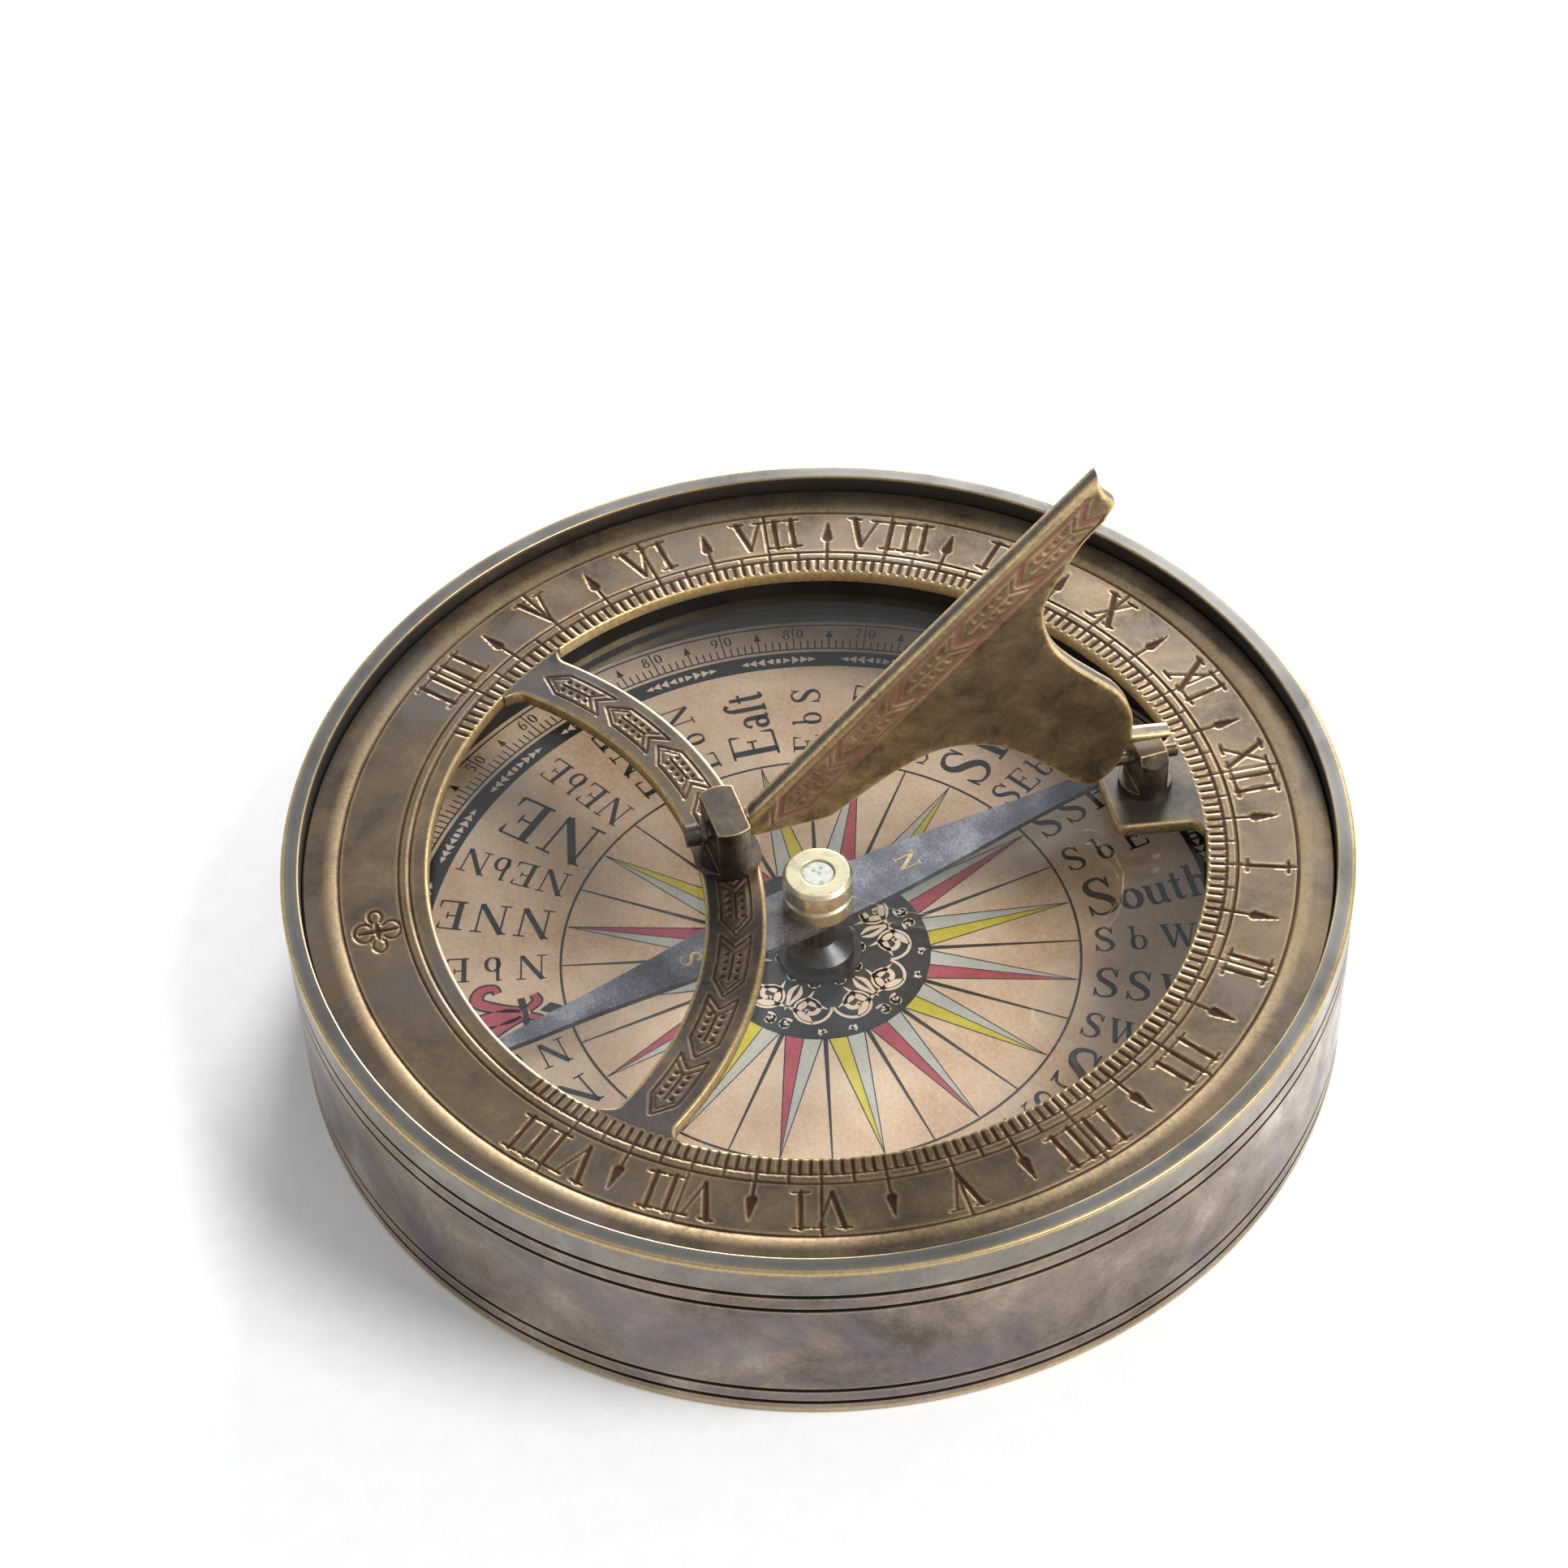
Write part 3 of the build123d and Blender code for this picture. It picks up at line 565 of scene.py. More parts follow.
for fifth in range(5):
    bearing = NORTH + 72 * fifth + 22
    right = (-leftward(bearing)[0], -leftward(bearing)[1])
    for way in (-1, 1):
        shapes = scroll(way * 2.35, 7.3, 2.35, 1.4, way, math.pi / 2 - way * 2.1, 0.62)
        shapes += scroll(way * 0.95, 10.3, 0.85, 0.85, -way, -math.pi / 2 + way * 0.6, 0.4)
        shapes += scroll(way * 1.1, 4.0, 1.0, 0.9, way, -math.pi / 2 - way * 0.4, 0.4)
        shapes += [eased([(way * 0.15, 4.9, 0.1), (way * 0.5, 6.0, 0.55),
                          (way * 0.2, 7.4, 0.35), (0.0, 8.6, 0.05)]),
                   [(way * 4.5, 9.7, 0.7), (way * 5.4, 9.3, 0.1)],
                   [(way * 4.9, 10.1, 0.1), (way * 5.0, 9.1, 0.4)]]
        cream += on_face(shapes, (0, 0), right, outward(bearing))
lily_up, lily_right = outward(NORTH), (-leftward(NORTH)[0], -leftward(NORTH)[1])
petal = [[(0, 32.2, 0.9), (0, 33.8, 2.0), (0, 36.4, 1.5), (0, 39.2, 0.05)]]
for way in (-1, 1):
    petal.append([(way * 0.5, 32.4, 0.6), (way * 1.3, 34.6, 1.0), (way * 2.6, 36.6, 1.15),
                  (way * 4.0, 36.0, 0.95), (way * 4.1, 34.6, 0.7), (way * 3.3, 34.3, 0.6)])
    petal.append([(way * 0.4, 31.6, 0.6), (way * 1.3, 30.4, 0.8), (way * 2.3, 30.6, 0.6)])
petal = [eased(s) for s in petal]
lily = on_face(petal, (0, 0), lily_right, lily_up)
key += on_face([[(x, y, w + 0.5) for x, y, w in s] for s in petal], (0, 0), lily_right, lily_up)
key += on_face([[(-2.1, 32.0, 0.8), (2.1, 32.0, 0.8)],
                [(0, 27.9, 0.05), (0, 29.1, 1.6), (0, 30.4, 0.05)]], (0, 0), lily_right, lily_up)
lily_points, lily_faces = ribbons(lily, CARD_TOP + 4 * INK_STEP)
# Printing inks: thin, matt and faded, so the paper's mottling shows through each of them.
for name, triangles, shades in (("card_red", red, ("#8f3340", "#a93f4d", "#bd5a64")),
                                ("card_yellow", yellow, ("#b39a2c", "#c8b23c", "#d6c257")),
                                ("card_grey", grey, ("#a39b92", "#b7b0a8", "#c8c0b6"))):
    level = CARD_TOP + INK_STEP
    points = [(*corner, level) for shape in triangles for corner in shape]
    faces = [(3 * i, 3 * i + 1, 3 * i + 2) for i in range(len(triangles))]
    if name == "card_red":
        faces += [tuple(len(points) + v for v in f) for f in lily_faces]
        points += lily_points
    put(name, points, faces, "case", "printed_card", printed("ink_" + name[5:], shades))
points, faces = ribbons(key, CARD_TOP + 3 * INK_STEP)
put("card_black", points, faces, "case", "printed_card",
    printed("ink_black_faded", ("#19181a", "#1f1e20", "#2a282b")))
points, faces = ribbons(cream, CARD_TOP + 4 * INK_STEP)
put("card_scrolls", points, faces, "case", "printed_card",
    printed("paper_left_bare", ("#d2ae98", "#e2c2ac", "#efd5c2")))

# ---- pivot, needle and cap -----------------------------------------------------------------
# A turned pedestal, blackened, carries the hardened pivot. The needle is blued steel with
# its two letters gilded, riveted to a polished brass cap that holds a clear jewel.
# Black paint: a satin skin over the brass, a little cloudy and uneven in its gloss.
blackened, tree, shader = new_material("black_paint_satin", Metallic=0.3)
place = add(tree, "TexCoord").outputs["Object"]
cloud = add(tree, "TexNoise", {"Vector": place, "Scale": 1 / (6 * MM), "Detail": 3.0})
tone = add(tree, "ValToRGB", {"Fac": cloud.outputs["Fac"]},
           stops=[(0.35, "#242326"), (0.65, "#38383c")])
tree.links.new(tone.outputs[0], shader.inputs["Base Color"])
rough = add(tree, "MapRange", {"Value": cloud.outputs["Fac"], "To Min": 0.25, "To Max": 0.42})
tree.links.new(rough.outputs[0], shader.inputs["Roughness"])
for name in ("card_washer", "pivot_pedestal"):
    finish_node(name, blackened)
# Hardened steel: ground to a point, neutral grey with fine scratches in its shine.
steel, tree, shader = new_material("hardened_steel_ground", Metallic=1.0, Base_Color="#a9abb0")
place = add(tree, "TexCoord").outputs["Object"]
scratch = add(tree, "TexNoise", {"Vector": place, "Scale": 1 / (0.2 * MM)})
rough = add(tree, "MapRange", {"Value": scratch.outputs["Fac"], "To Min": 0.2, "To Max": 0.4})
tree.links.new(rough.outputs[0], shader.inputs["Roughness"])
finish_node("pivot_pin", steel)
# Blued steel: heated until it turned slate, clouded, with grey specks where it has worn.
blued, tree, shader = new_material("steel_heat_blued", Metallic=0.55)
place = add(tree, "TexCoord").outputs["Object"]
cloud = add(tree, "TexNoise", {"Vector": place, "Scale": 1 / (5 * MM), "Detail": 4.0})
speck = add(tree, "TexNoise", {"Vector": place, "Scale": 1 / (0.35 * MM), "Detail": 3.0})
level = add(tree, "Math", {0: speck.outputs["Fac"], 1: 0.5, 2: cloud.outputs["Fac"]},
            operation="MULTIPLY_ADD")
tone = add(tree, "ValToRGB", {"Fac": level.outputs[0]},
           stops=[(0.55, "#2d2b33"), (0.95, "#77737a"), (0.75, "#4d4a55")])
tree.links.new(tone.outputs[0], shader.inputs["Base Color"])
rough = add(tree, "MapRange", {"Value": speck.outputs["Fac"], "To Min": 0.35, "To Max": 0.6})
tree.links.new(rough.outputs[0], shader.inputs["Roughness"])
finish_node("needle", blued)
NEEDLE_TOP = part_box("needle")[1].z / MM
NEEDLE_BEARING, NEEDLE_LETTER = -17.5, 2.3
# Gilding: a thin gold layer rubbed down to dull ochre.
gilt = aged_brass("gilt_rubbed", ("#8a7350", "#a88c5c", "#bda06c"), "#c9ad74", 1.0,
                  roughness=0.4)
letters = []
for letter, bearing, near in (("N", NEEDLE_BEARING, 9.6), ("S", NEEDLE_BEARING + 180, 14.0)):
    up = outward(NEEDLE_BEARING)
    along = (up[1], -up[0])
    x, y = spot(bearing, near + 1.2)
    width = LETTERS[letter][0] * NEEDLE_LETTER
    origin = (x - along[0] * width / 2 - up[0] * NEEDLE_LETTER / 2,
              y - along[1] * width / 2 - up[1] * NEEDLE_LETTER / 2)
    letters += word(letter, origin, along, up, NEEDLE_LETTER)[0]
points, faces = ribbons(letters, NEEDLE_TOP + 0.01)
put("needle_letters", points, faces, "compass_needle", "bright_brass", gilt)
finish_node("needle_cap", bright_brass)
# Rock crystal, ground: clear with a milky core. Its near-white colour, palest towards the edges
# of its facets, is partly a painted sparkle.
crystal, tree, shader = new_material("rock_crystal_ground", Transmission_Weight=0.3, IOR=1.54,
                                     Roughness=0.12)
place = add(tree, "TexCoord").outputs["Object"]
facets_and_sparkle = add(tree, "TexVoronoi", {"Vector": place, "Scale": 1 / (0.7 * MM)})
tone = add(tree, "ValToRGB", {"Fac": facets_and_sparkle.outputs["Distance"]},
           stops=[(0.05, "#a9a49c"), (0.5, "#f6f3ec")])
tree.links.new(tone.outputs[0], shader.inputs["Base Color"])
facet = add(tree, "Bump", {"Strength": 0.6, "Distance": 0.1 * MM,
                           "Height": facets_and_sparkle.outputs["Distance"]})
tree.links.new(facet.outputs[0], shader.inputs["Normal"])
finish_node("cap_jewel", crystal)

# ---- liner, glass and spring ring ----------------------------------------------------------
# A blackened ring stands between card and glass. The flat glass rests on it, and a split
# brass ring, blackened too and sprung into the wall, keeps it down.
finish_node("card_liner", blackened)
# Window glass: clear and polished. The lamps' light passes straight through to the card.
GLASS_COLOUR = "#fbfdfc"
window = bpy.data.materials.new("window_glass")
window.use_nodes = True
tree = window.node_tree
tree.nodes.clear()
glass = add(tree, "BsdfGlass", {"Color": GLASS_COLOUR, "Roughness": 0.0, "IOR": 1.5})
unbent = add(tree, "BsdfTransparent", {"Color": GLASS_COLOUR})
path = add(tree, "LightPath").outputs
either = add(tree, "Math", {0: path["Is Shadow Ray"], 1: path["Is Diffuse Ray"]},
             operation="MAXIMUM")
mix = add(tree, "MixShader", {0: either.outputs[0], 1: glass.outputs[0], 2: unbent.outputs[0]})
add(tree, "OutputMaterial", {"Surface": mix.outputs[0]})
finish_node("glass", window)
finish_node("spring_ring", blackened)

# ---- hour plate -----------------------------------------------------------------------------
# One flat brass casting: the hour ring, the arched bridge and the tab at noon. The hours,
# the scale of five minutes and the chain of arrows were cut into it, and the dark wax left
# in the cuts is red-brown. The edges and the lips of the cuts are rubbed bright.
PLATE_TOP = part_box("dial_ring")[1].z / MM
PLATE_T, PLATE_IN, PLATE_OUT, FINE_OUT = 1.4, 40.0, 53.0, 49.6
PLATE_LOW = PLATE_TOP - PLATE_T
GRAIN = 0.165                               # spacing of the mesh where it is engraved
CUT_DEPTH, CUT_LIP = 0.13, 0.012
EDGE_STEPS = ((0.0, -0.32, 1.0), (0.06, -0.13, 1.0), (0.18, -0.03, 0.8), (0.34, 0.0, 0.35))
EDGE_WIDTH = EDGE_STEPS[-1][0]
HOURS_OUT, NUMERAL_FOOT, HOURS_IN = 49.3, 43.95, 43.1     # radii of the hours' circles
FIVES_OUT, FIVES_IN = 42.0, 40.45                         # and of the scale of five minutes
NUMERAL = 4.4
HOUR = 16.95                                # degrees between hours on the plate
HOURS = ("IIII V VI VII VIII IX X XI XII I II III IIII V VI VII VIII").split()


def carve(x, y, strokes):
    """How far each point lies outside the nearest stroke, in mm, up to a limit."""
    gap = np.full(x.shape, 9.0)
    for stroke in strokes:
        for (ax, ay, aw), (bx, by, bw) in zip(stroke, stroke[1:]):
            reach = max(aw, bw) / 2 + 0.45
            near = np.nonzero((x > min(ax, bx) - reach) & (x < max(ax, bx) + reach)
                              & (y > min(ay, by) - reach) & (y < max(ay, by) + reach))
            px, py, dx, dy = x[near] - ax, y[near] - ay, bx - ax, by - ay
            t = np.clip((px * dx + py * dy) / max(dx * dx + dy * dy, 1e-9), 0, 1)
            away = np.hypot(px - t * dx, py - t * dy) - (aw + (bw - aw) * t) / 2
            gap[near] = np.minimum(gap[near], away)
    return gap


def engraved(gap):
    """Depth, wax and rubbed lip for each point, from its distance to the cut's edge."""
    inside = np.clip(0.5 - gap / 0.14, 0, 1)
    lip = np.exp(-((gap - 0.16) / 0.1) ** 2)
    return -CUT_DEPTH * inside + CUT_LIP * lip, inside, 0.34 * lip


cuts = [round_line(HOURS_OUT, 0.22, 360), round_line(HOURS_IN, 0.24, 360),
        round_line(FIVES_OUT, 0.24, 360)]
for i, hour in enumerate(HOURS):
    bearing = HOUR * (i - HOURS.index("XII"))
    up, along = outward(bearing), (-leftward(bearing)[0], -leftward(bearing)[1])
    width = word(hour, (0, 0), (1, 0), (0, 1), NUMERAL, 0.03)[1]
    x, y = spot(bearing, NUMERAL_FOOT)
    cuts += word(hour, (x - along[0] * width / 2, y - along[1] * width / 2), along, up,
                 NUMERAL, 0.03)[0]
    cuts.append([(*spot(bearing, 40.5), 0.22), (*spot(bearing, HOURS_OUT), 0.22)])
    if i < len(HOURS) - 1:
        half = bearing + HOUR / 2
        cuts += [[(*spot(half, FIVES_OUT), 0.24), (*spot(half, 45.6), 0.22)],
                 [(*spot(half, 45.3), 1.05), (*spot(half, 47.7), 0.05)]]
        for part in (0.25, 0.75):
            cuts.append([(*spot(bearing + HOUR * part, FIVES_OUT), 0.22),
                         (*spot(bearing + HOUR * part, HOURS_IN), 0.22)])
for step in range(-12 * 8 - 6, 12 * 8 + 7):
    bearing = step * HOUR / 12
    cuts.append([(*spot(bearing, FIVES_IN), 0.36), (*spot(bearing, FIVES_OUT), 0.36)])
KNOT_X, KNOT_Y = 1.0, -45.8
for way in (-1, 1):
    # the knot opposite noon: two broad loops along the radius and two small ones across it,
    # all open towards the middle
    sweep = np.linspace(-2.5, 2.5, 19)
    broad = [(KNOT_X + 1.2 * math.sin(b), KNOT_Y + way * (1.4 + 0.98 * math.cos(b)), 0.25)
             for b in sweep]
    small = [(KNOT_X + way * (1.9 + 0.85 * math.cos(b)), KNOT_Y + 0.68 * math.sin(b), 0.25)
             for b in sweep]
    stripe = [(KNOT_X, KNOT_Y, 0.5), (KNOT_X, KNOT_Y + way * 1.9, 0.3)]
    cuts += [broad, small, stripe, [(KNOT_X, KNOT_Y, 0.6), (KNOT_X + way * 1.1, KNOT_Y, 0.2)]]


def joined(bearing):
    """1 where the bridge or the tab runs into the ring, so that no edge shows there."""
    off = np.abs((bearing + 180) % 360 - 180)
    return np.where((off < 10.8) | ((off > 121.6) & (off < 134.6)), 1.0, 0.0)


columns = int(2 * math.pi * 45 / GRAIN)
bearings = np.linspace(0, 360, columns, endpoint=False)
fine = np.arange(PLATE_IN + EDGE_WIDTH + GRAIN, FINE_OUT, GRAIN)
rows = [(PLATE_IN, -PLATE_T, 0.3)]
rows += [(PLATE_IN + off, drop, worn) for off, drop, worn in EDGE_STEPS]
rows += [(r, 0.0, 0.0) for r in fine]
rows += [(51.0, 0.0, 0.0), (PLATE_OUT - 0.5, 0.0, 0.0), (PLATE_OUT - 0.45, 0.0, 0.0),
         (PLATE_OUT - 0.2, 0.0, 0.0), (PLATE_OUT, -0.2, 0.1),
         (PLATE_OUT, -PLATE_T, 0.0)]
rows = np.array(rows)
R, B = rows[:, :1], np.radians(bearings)[None]
X, Y = R * np.sin(B), R * np.cos(B)
drop, worn = np.repeat(rows[:, 1:2], columns, 1), np.repeat(rows[:, 2:3], columns, 1)
root = joined(bearings)[None]
near_edge = (rows[:, :1] < fine[0]) & (rows[:, 1:2] > -1)
drop = np.where(near_edge, drop * (1 - root), drop)
worn = np.where(near_edge, worn * (1 - root), worn)
depth, wax, lip = engraved(carve(X, Y, cuts))
on_top = (drop == 0)
drop, wax, worn = drop + depth * on_top, wax * on_top, np.maximum(worn, lip * on_top)
# Plate brass: olive gold to dark brown-grey, in blotches the size of a thumb's rubbing.
plate_brass = aged_brass("aged_brass_plate", ("#41372e", "#5a4e41", "#71614e", "#8c7960"),
                         "#cab17c", 7.0, roughness=0.36, tint="#666160")
ring_points = np.stack([X, Y, PLATE_TOP + drop], -1).reshape(-1, 3)
ring_faces = quads(len(rows), columns, True, True)[:, ::-1]
hour_ring = put("hour_ring", ring_points, ring_faces, "case", "aged_brass_plate", plate_brass,
                worn=worn, cut=wax)
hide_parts("dial_ring")

BRIDGE_CENTRE, BRIDGE_R, BRIDGE_HALF, FLARE = -49.1, 39.8, 3.1, 1.7
ARROW_PITCH, ARROW_FIRST, ARROW_HALF = 8.1, 10.0, 1.5


def arrow_cell(head):
    """One arrow of the chain, from its head back to its notched tail, as cut strokes."""
    w, line = ARROW_HALF, 0.2
    shapes = []
    for side in (-1, 1):
        shapes += [[(head, 0, line), (head - 2.2, side * w, line)],
                   [(head - 2.2, side * w, line), (head - 8.1, side * w, line)],
                   [(head - 8.1, side * w, line), (head - 6.5, 0, line)],
                   [(head - 0.75, 0, 0.12), (head - 2.4, side * (w - 0.4), 0.12)],
                   [(head - 6.9, side * w * 0.85, 0.16), (head - 5.6, 0, 0.16)]]
        shapes += [[(head - 2.6 - k, side * 0.66, 0.46), (head - 2.61 - k, side * 0.66, 0.46)]
                   for k in range(4)]
    return shapes + [[(head - 2.2, 0, 0.16), (head - 5.6, 0, 0.16)]]


def bridge_place(angle, offset):
    reach = BRIDGE_R + offset
    return reach * np.sin(angle), BRIDGE_CENTRE + reach * np.cos(angle)


def bridge_half(angle, side):
    """Half width of the bridge, which flares where it meets the ring."""
    x, y = bridge_place(angle, side * BRIDGE_HALF)
    left = np.clip(1 - (PLATE_IN - np.hypot(x, y)) / FLARE, 0, 1)
    return BRIDGE_HALF + FLARE * 0.8 * left ** 2


lanes = [(-1, -1.0, -PLATE_T, 0.3)] + [(-1, off, low, rub) for off, low, rub in EDGE_STEPS]
middle = np.linspace(-1, 1, int(2 * (BRIDGE_HALF - EDGE_WIDTH) / GRAIN))[1:-1]
lanes += [(0, share, 0.0, 0.0) for share in middle]
lanes += [(1, off, low, rub) for off, low, rub in EDGE_STEPS[::-1]] + [(1, -1.0, -PLATE_T, 0.3)]


def lane_offset(lane, angle):
    side, place, _, _ = lane
    if side:
        return side * (bridge_half(angle, side) - max(place, 0.0))
    high, low = bridge_half(angle, 1) - EDGE_WIDTH, bridge_half(angle, -1) - EDGE_WIDTH
    return np.where(place > 0, place * high, place * low)


span = np.linspace(-1, 1, int(2 * BRIDGE_R * math.radians(52) / GRAIN))
chain = [s for k in range(4) for s in arrow_cell(ARROW_FIRST + ARROW_PITCH * k)]
chain += [[(-x, y, w) for x, y, w in s] for s in chain]
points, worn, wax = [], [], []
for lane in lanes:
    near, far = math.radians(40), math.radians(62)
    for _ in range(30):
        angle = (near + far) / 2
        x, y = bridge_place(angle, lane_offset(lane, angle))
        near, far = (angle, far) if math.hypot(x, y) < PLATE_IN else (near, angle)
    angles = span * near
    offsets = lane_offset(lane, angles)
    x, y = bridge_place(angles, offsets)
    if lane[0] == 0:
        depth, filled, lip = engraved(carve(angles * BRIDGE_R, offsets, chain))
    else:
        depth, filled, lip = 0 * x + lane[2], 0 * x, 0 * x + lane[3]
    fade = np.clip((PLATE_IN - np.hypot(x, y)) / 0.8, 0, 1) if lane[2] > -1 else 1.0
    points.append(np.stack([x, y, PLATE_TOP + depth * np.where(depth > -1, fade, 1)], -1))
    worn.append((0.5 * lip if lane[0] == 0 else lip) * fade)
    wax.append(filled)
# Bridge brass: the same casting, in a darker brown than the ring.
bridge_brass = aged_brass("aged_brass_bridge", ("#35302c", "#4b443d", "#62564a", "#7d6c58"),
                          "#cdb27d", 6.0, roughness=0.38, tint="#514f54")
bridge = put("bridge", np.concatenate(points), quads(len(lanes), len(span), True)[:, ::-1],
             "case", "aged_brass_plate", bridge_brass, worn=np.concatenate(worn),
             cut=np.concatenate(wax))
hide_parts("dial_ring")

TAB_IN, TAB_HALF_IN, TAB_HALF_ROOT, TAB_ROUND = 30.6, 5.05, 5.9, 1.3
TAB_FLARE = 1.1
corner = [(TAB_HALF_IN - TAB_ROUND + TAB_ROUND * math.sin(a), TAB_IN + TAB_ROUND
           - TAB_ROUND * math.cos(a)) for a in np.linspace(0, math.pi / 2, 8)]
tab_root_y = math.sqrt(PLATE_IN ** 2 - (TAB_HALF_ROOT + TAB_FLARE) ** 2)
flank = []
for t in np.linspace(0.08, 1, 22):
    y = TAB_IN + TAB_ROUND + (tab_root_y - TAB_IN - TAB_ROUND) * t
    left = max(0.0, 1 - (tab_root_y - y) / TAB_FLARE)
    flank.append((TAB_HALF_IN + (TAB_HALF_ROOT - TAB_HALF_IN) * t + TAB_FLARE * left ** 2, y))
half_edge = corner + flank
edge_line = np.array([(-x, y) for x, y in half_edge[::-1]] + half_edge)
turn_in = np.gradient(edge_line, axis=0)
turn_in /= np.linalg.norm(turn_in, axis=1, keepdims=True)
inward = np.stack([-turn_in[:, 1], turn_in[:, 0]], 1)
layers = [(0.0, -PLATE_T, 0.3)] + list(EDGE_STEPS) + [(0.55, 0.0, 0.0)]
points, worn = [], []
for off, low, rub in layers:
    loop = edge_line + inward * off
    loop[[0, -1]] = edge_line[[0, -1]] + np.array([[off, 0], [-off, 0]])
    points.append(np.column_stack([loop, np.full(len(loop), PLATE_TOP + low)]))
    worn.append(np.full(len(loop), rub))
faces = quads(len(layers), len(edge_line))[:, ::-1].tolist()
top_loop = list(range((len(layers) - 1) * len(edge_line), len(layers) * len(edge_line)))
arc = [spot(a, PLATE_IN) for a in np.linspace(10.4, -10.4, 15)]
start = len(layers) * len(edge_line)
points.append(np.array([(x, y, PLATE_TOP) for x, y in arc]))
points.append(np.array([(x, y, PLATE_LOW) for x, y in arc]))
worn += [np.zeros(15), np.zeros(15)]
faces.append(top_loop + list(range(start, start + 15)))
faces.append((list(range(len(edge_line))) + list(range(start + 15, start + 30)))[::-1])
# Tab brass: the plate's brass darkened to a cool grey-brown, as painted shade under the gnomon's
# tongue.
tab_brass_painted_shade = aged_brass("aged_brass_tab_painted_shade", ("#35322f", "#47433e", "#585149", "#6d6558"),
                       "#b59d70", 5.0, roughness=0.42, tint="#3d3e42")
tab = put("noon_tab", np.concatenate(points), faces, "case", "aged_brass_plate", tab_brass_painted_shade,
          worn=np.concatenate(worn), cut=np.zeros(sum(map(len, points))))
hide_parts("dial_ring")

# ---- posts and hinge pins --------------------------------------------------------------------
# The two posts are turned, milled to two flats and riveted through the plate. They are
# darker than the plate, with the corners of their tops rubbed to bright brass.
# Post brass: dark brown, with blue-grey heat colours and gold where its corners rub.
for post, shades, rubbed_from in (
        ("south", ("#352f2a", "#4b443c", "#61584e", "#7f7569"), 0.8),
        ("north", ("#3d3329", "#574b3e", "#716352", "#8f7f67"), 1.5)):
    post_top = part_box(post + "_post")[1].z / MM
    post_brass = aged_brass("dark_brass_post_" + post, shades, "#d9bf87", 3.0, roughness=0.34,
                            tint="#5a5d66", edge=0.25, edge_above=post_top - rubbed_from)
    for name in (post + "_post", post + "_hinge_pin"):
        finish_node(name, post_brass)

# ---- gnomon -----------------------------------------------------------------------------------
# The gnomon is a cast brass plate with a straight sloping edge, a curved back and a hollow
# underside. A chain of arrows is cut along the slope on both faces, its cuts coppery.
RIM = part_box("case_wall")[1].z / MM
GNOMON_X, GNOMON_HALF = -0.7, 0.9
STYLE = math.radians(48.0)
STYLE_START = (-6.8, 4.3)
TIP_Z = 43.5
tip = (STYLE_START[0] + (TIP_Z - STYLE_START[1]) / math.tan(STYLE), TIP_Z)
heel = (tip[0] + 1.9, tip[1] - 3.9)


def through(points, steps=8):
    """A smooth line through points in the gnomon's plane."""
    return [(y, z) for y, z, _ in eased([(y, z, 0) for y, z in points], steps)]


def straight(a, b, spacing=0.5):
    n = max(1, int(math.dist(a, b) / spacing))
    return [(a[0] + (b[0] - a[0]) * i / n, a[1] + (b[1] - a[1]) * i / n) for i in range(n)]


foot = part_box("gnomon")[0].y / MM
lip_end = (heel[0] - 1.0, heel[1] - 2.1)
outline = straight((foot, 1.2), (foot, 4.3)) + straight((foot, 4.3), STYLE_START)
style_from = len(outline)
outline += straight(STYLE_START, tip)
style_to = len(outline)
outline += through([tip, (tip[0] + 0.55, tip[1] - 2.15), heel], 5)[:-1]
outline += straight(heel, lip_end)
outline += through([lip_end, (27.3, 34.9), (25.7, 31.9), (23.9, 28.2), (23.6, 25.3), (24.6, 21.4),
                    (26.6, 18.4), (29.4, 15.4), (31.6, 13.0), (33.1, 9.7), (33.3, 6.15)], 6)[:-1]
outline += straight((33.3, 6.15), (37.3, 5.7)) + straight((37.3, 5.7), (37.3, 5.1))
outline += straight((37.3, 5.1), (32.9, 5.1))
outline += through([(32.9, 5.1), (31.7, 2.0), (29.5, 0.0), (27.2, 0.8), (24.7, 3.5),
                    (19.5, 7.9), (14.0, 9.3), (8.8, 7.4), (1.7, 2.2)], 8)[:-1]
outline += straight((1.7, 2.2), (0.4, 1.9)) + straight((0.4, 1.9), (foot, 1.2))
outline = np.array(outline)
before, after = outline - np.roll(outline, 1, 0), np.roll(outline, -1, 0) - outline
before /= np.linalg.norm(before, axis=1, keepdims=True)
after /= np.linalg.norm(after, axis=1, keepdims=True)
mean = before + after
mean /= np.linalg.norm(mean, axis=1, keepdims=True)
inset = np.stack([mean[:, 1], -mean[:, 0]], 1) / np.clip((mean * after).sum(1), 0.7, 1)[:, None]
soft = np.ones(len(outline))
soft[style_from:style_to] = 0.4
GNOMON_EDGE = ((0.0, 0.62, 0.0), (0.0, 0.3, 0.95), (0.07, 0.12, 1.0), (0.2, 0.03, 0.9),
               (0.4, 0.0, 0.5))
count = len(outline)
loops = [(outline + inset * (off * soft)[:, None], low * (soft if low < 0.5 else 1.0)
          * np.ones(count)) for off, low, _ in GNOMON_EDGE]
LAST = len(GNOMON_EDGE) - 1
inner = loops[-1][0]


def inside(points, loop):
    """True for each point inside a closed line."""
    x, y = points[:, 0], points[:, 1]
    within = np.zeros(len(points), bool)
    for (ax, ay), (bx, by) in zip(loop, np.roll(loop, -1, 0)):
        if ay != by:
            within ^= ((ay > y) != (by > y)) & (x < (bx - ax) * (y - ay) / (by - ay) + ax)
    return within


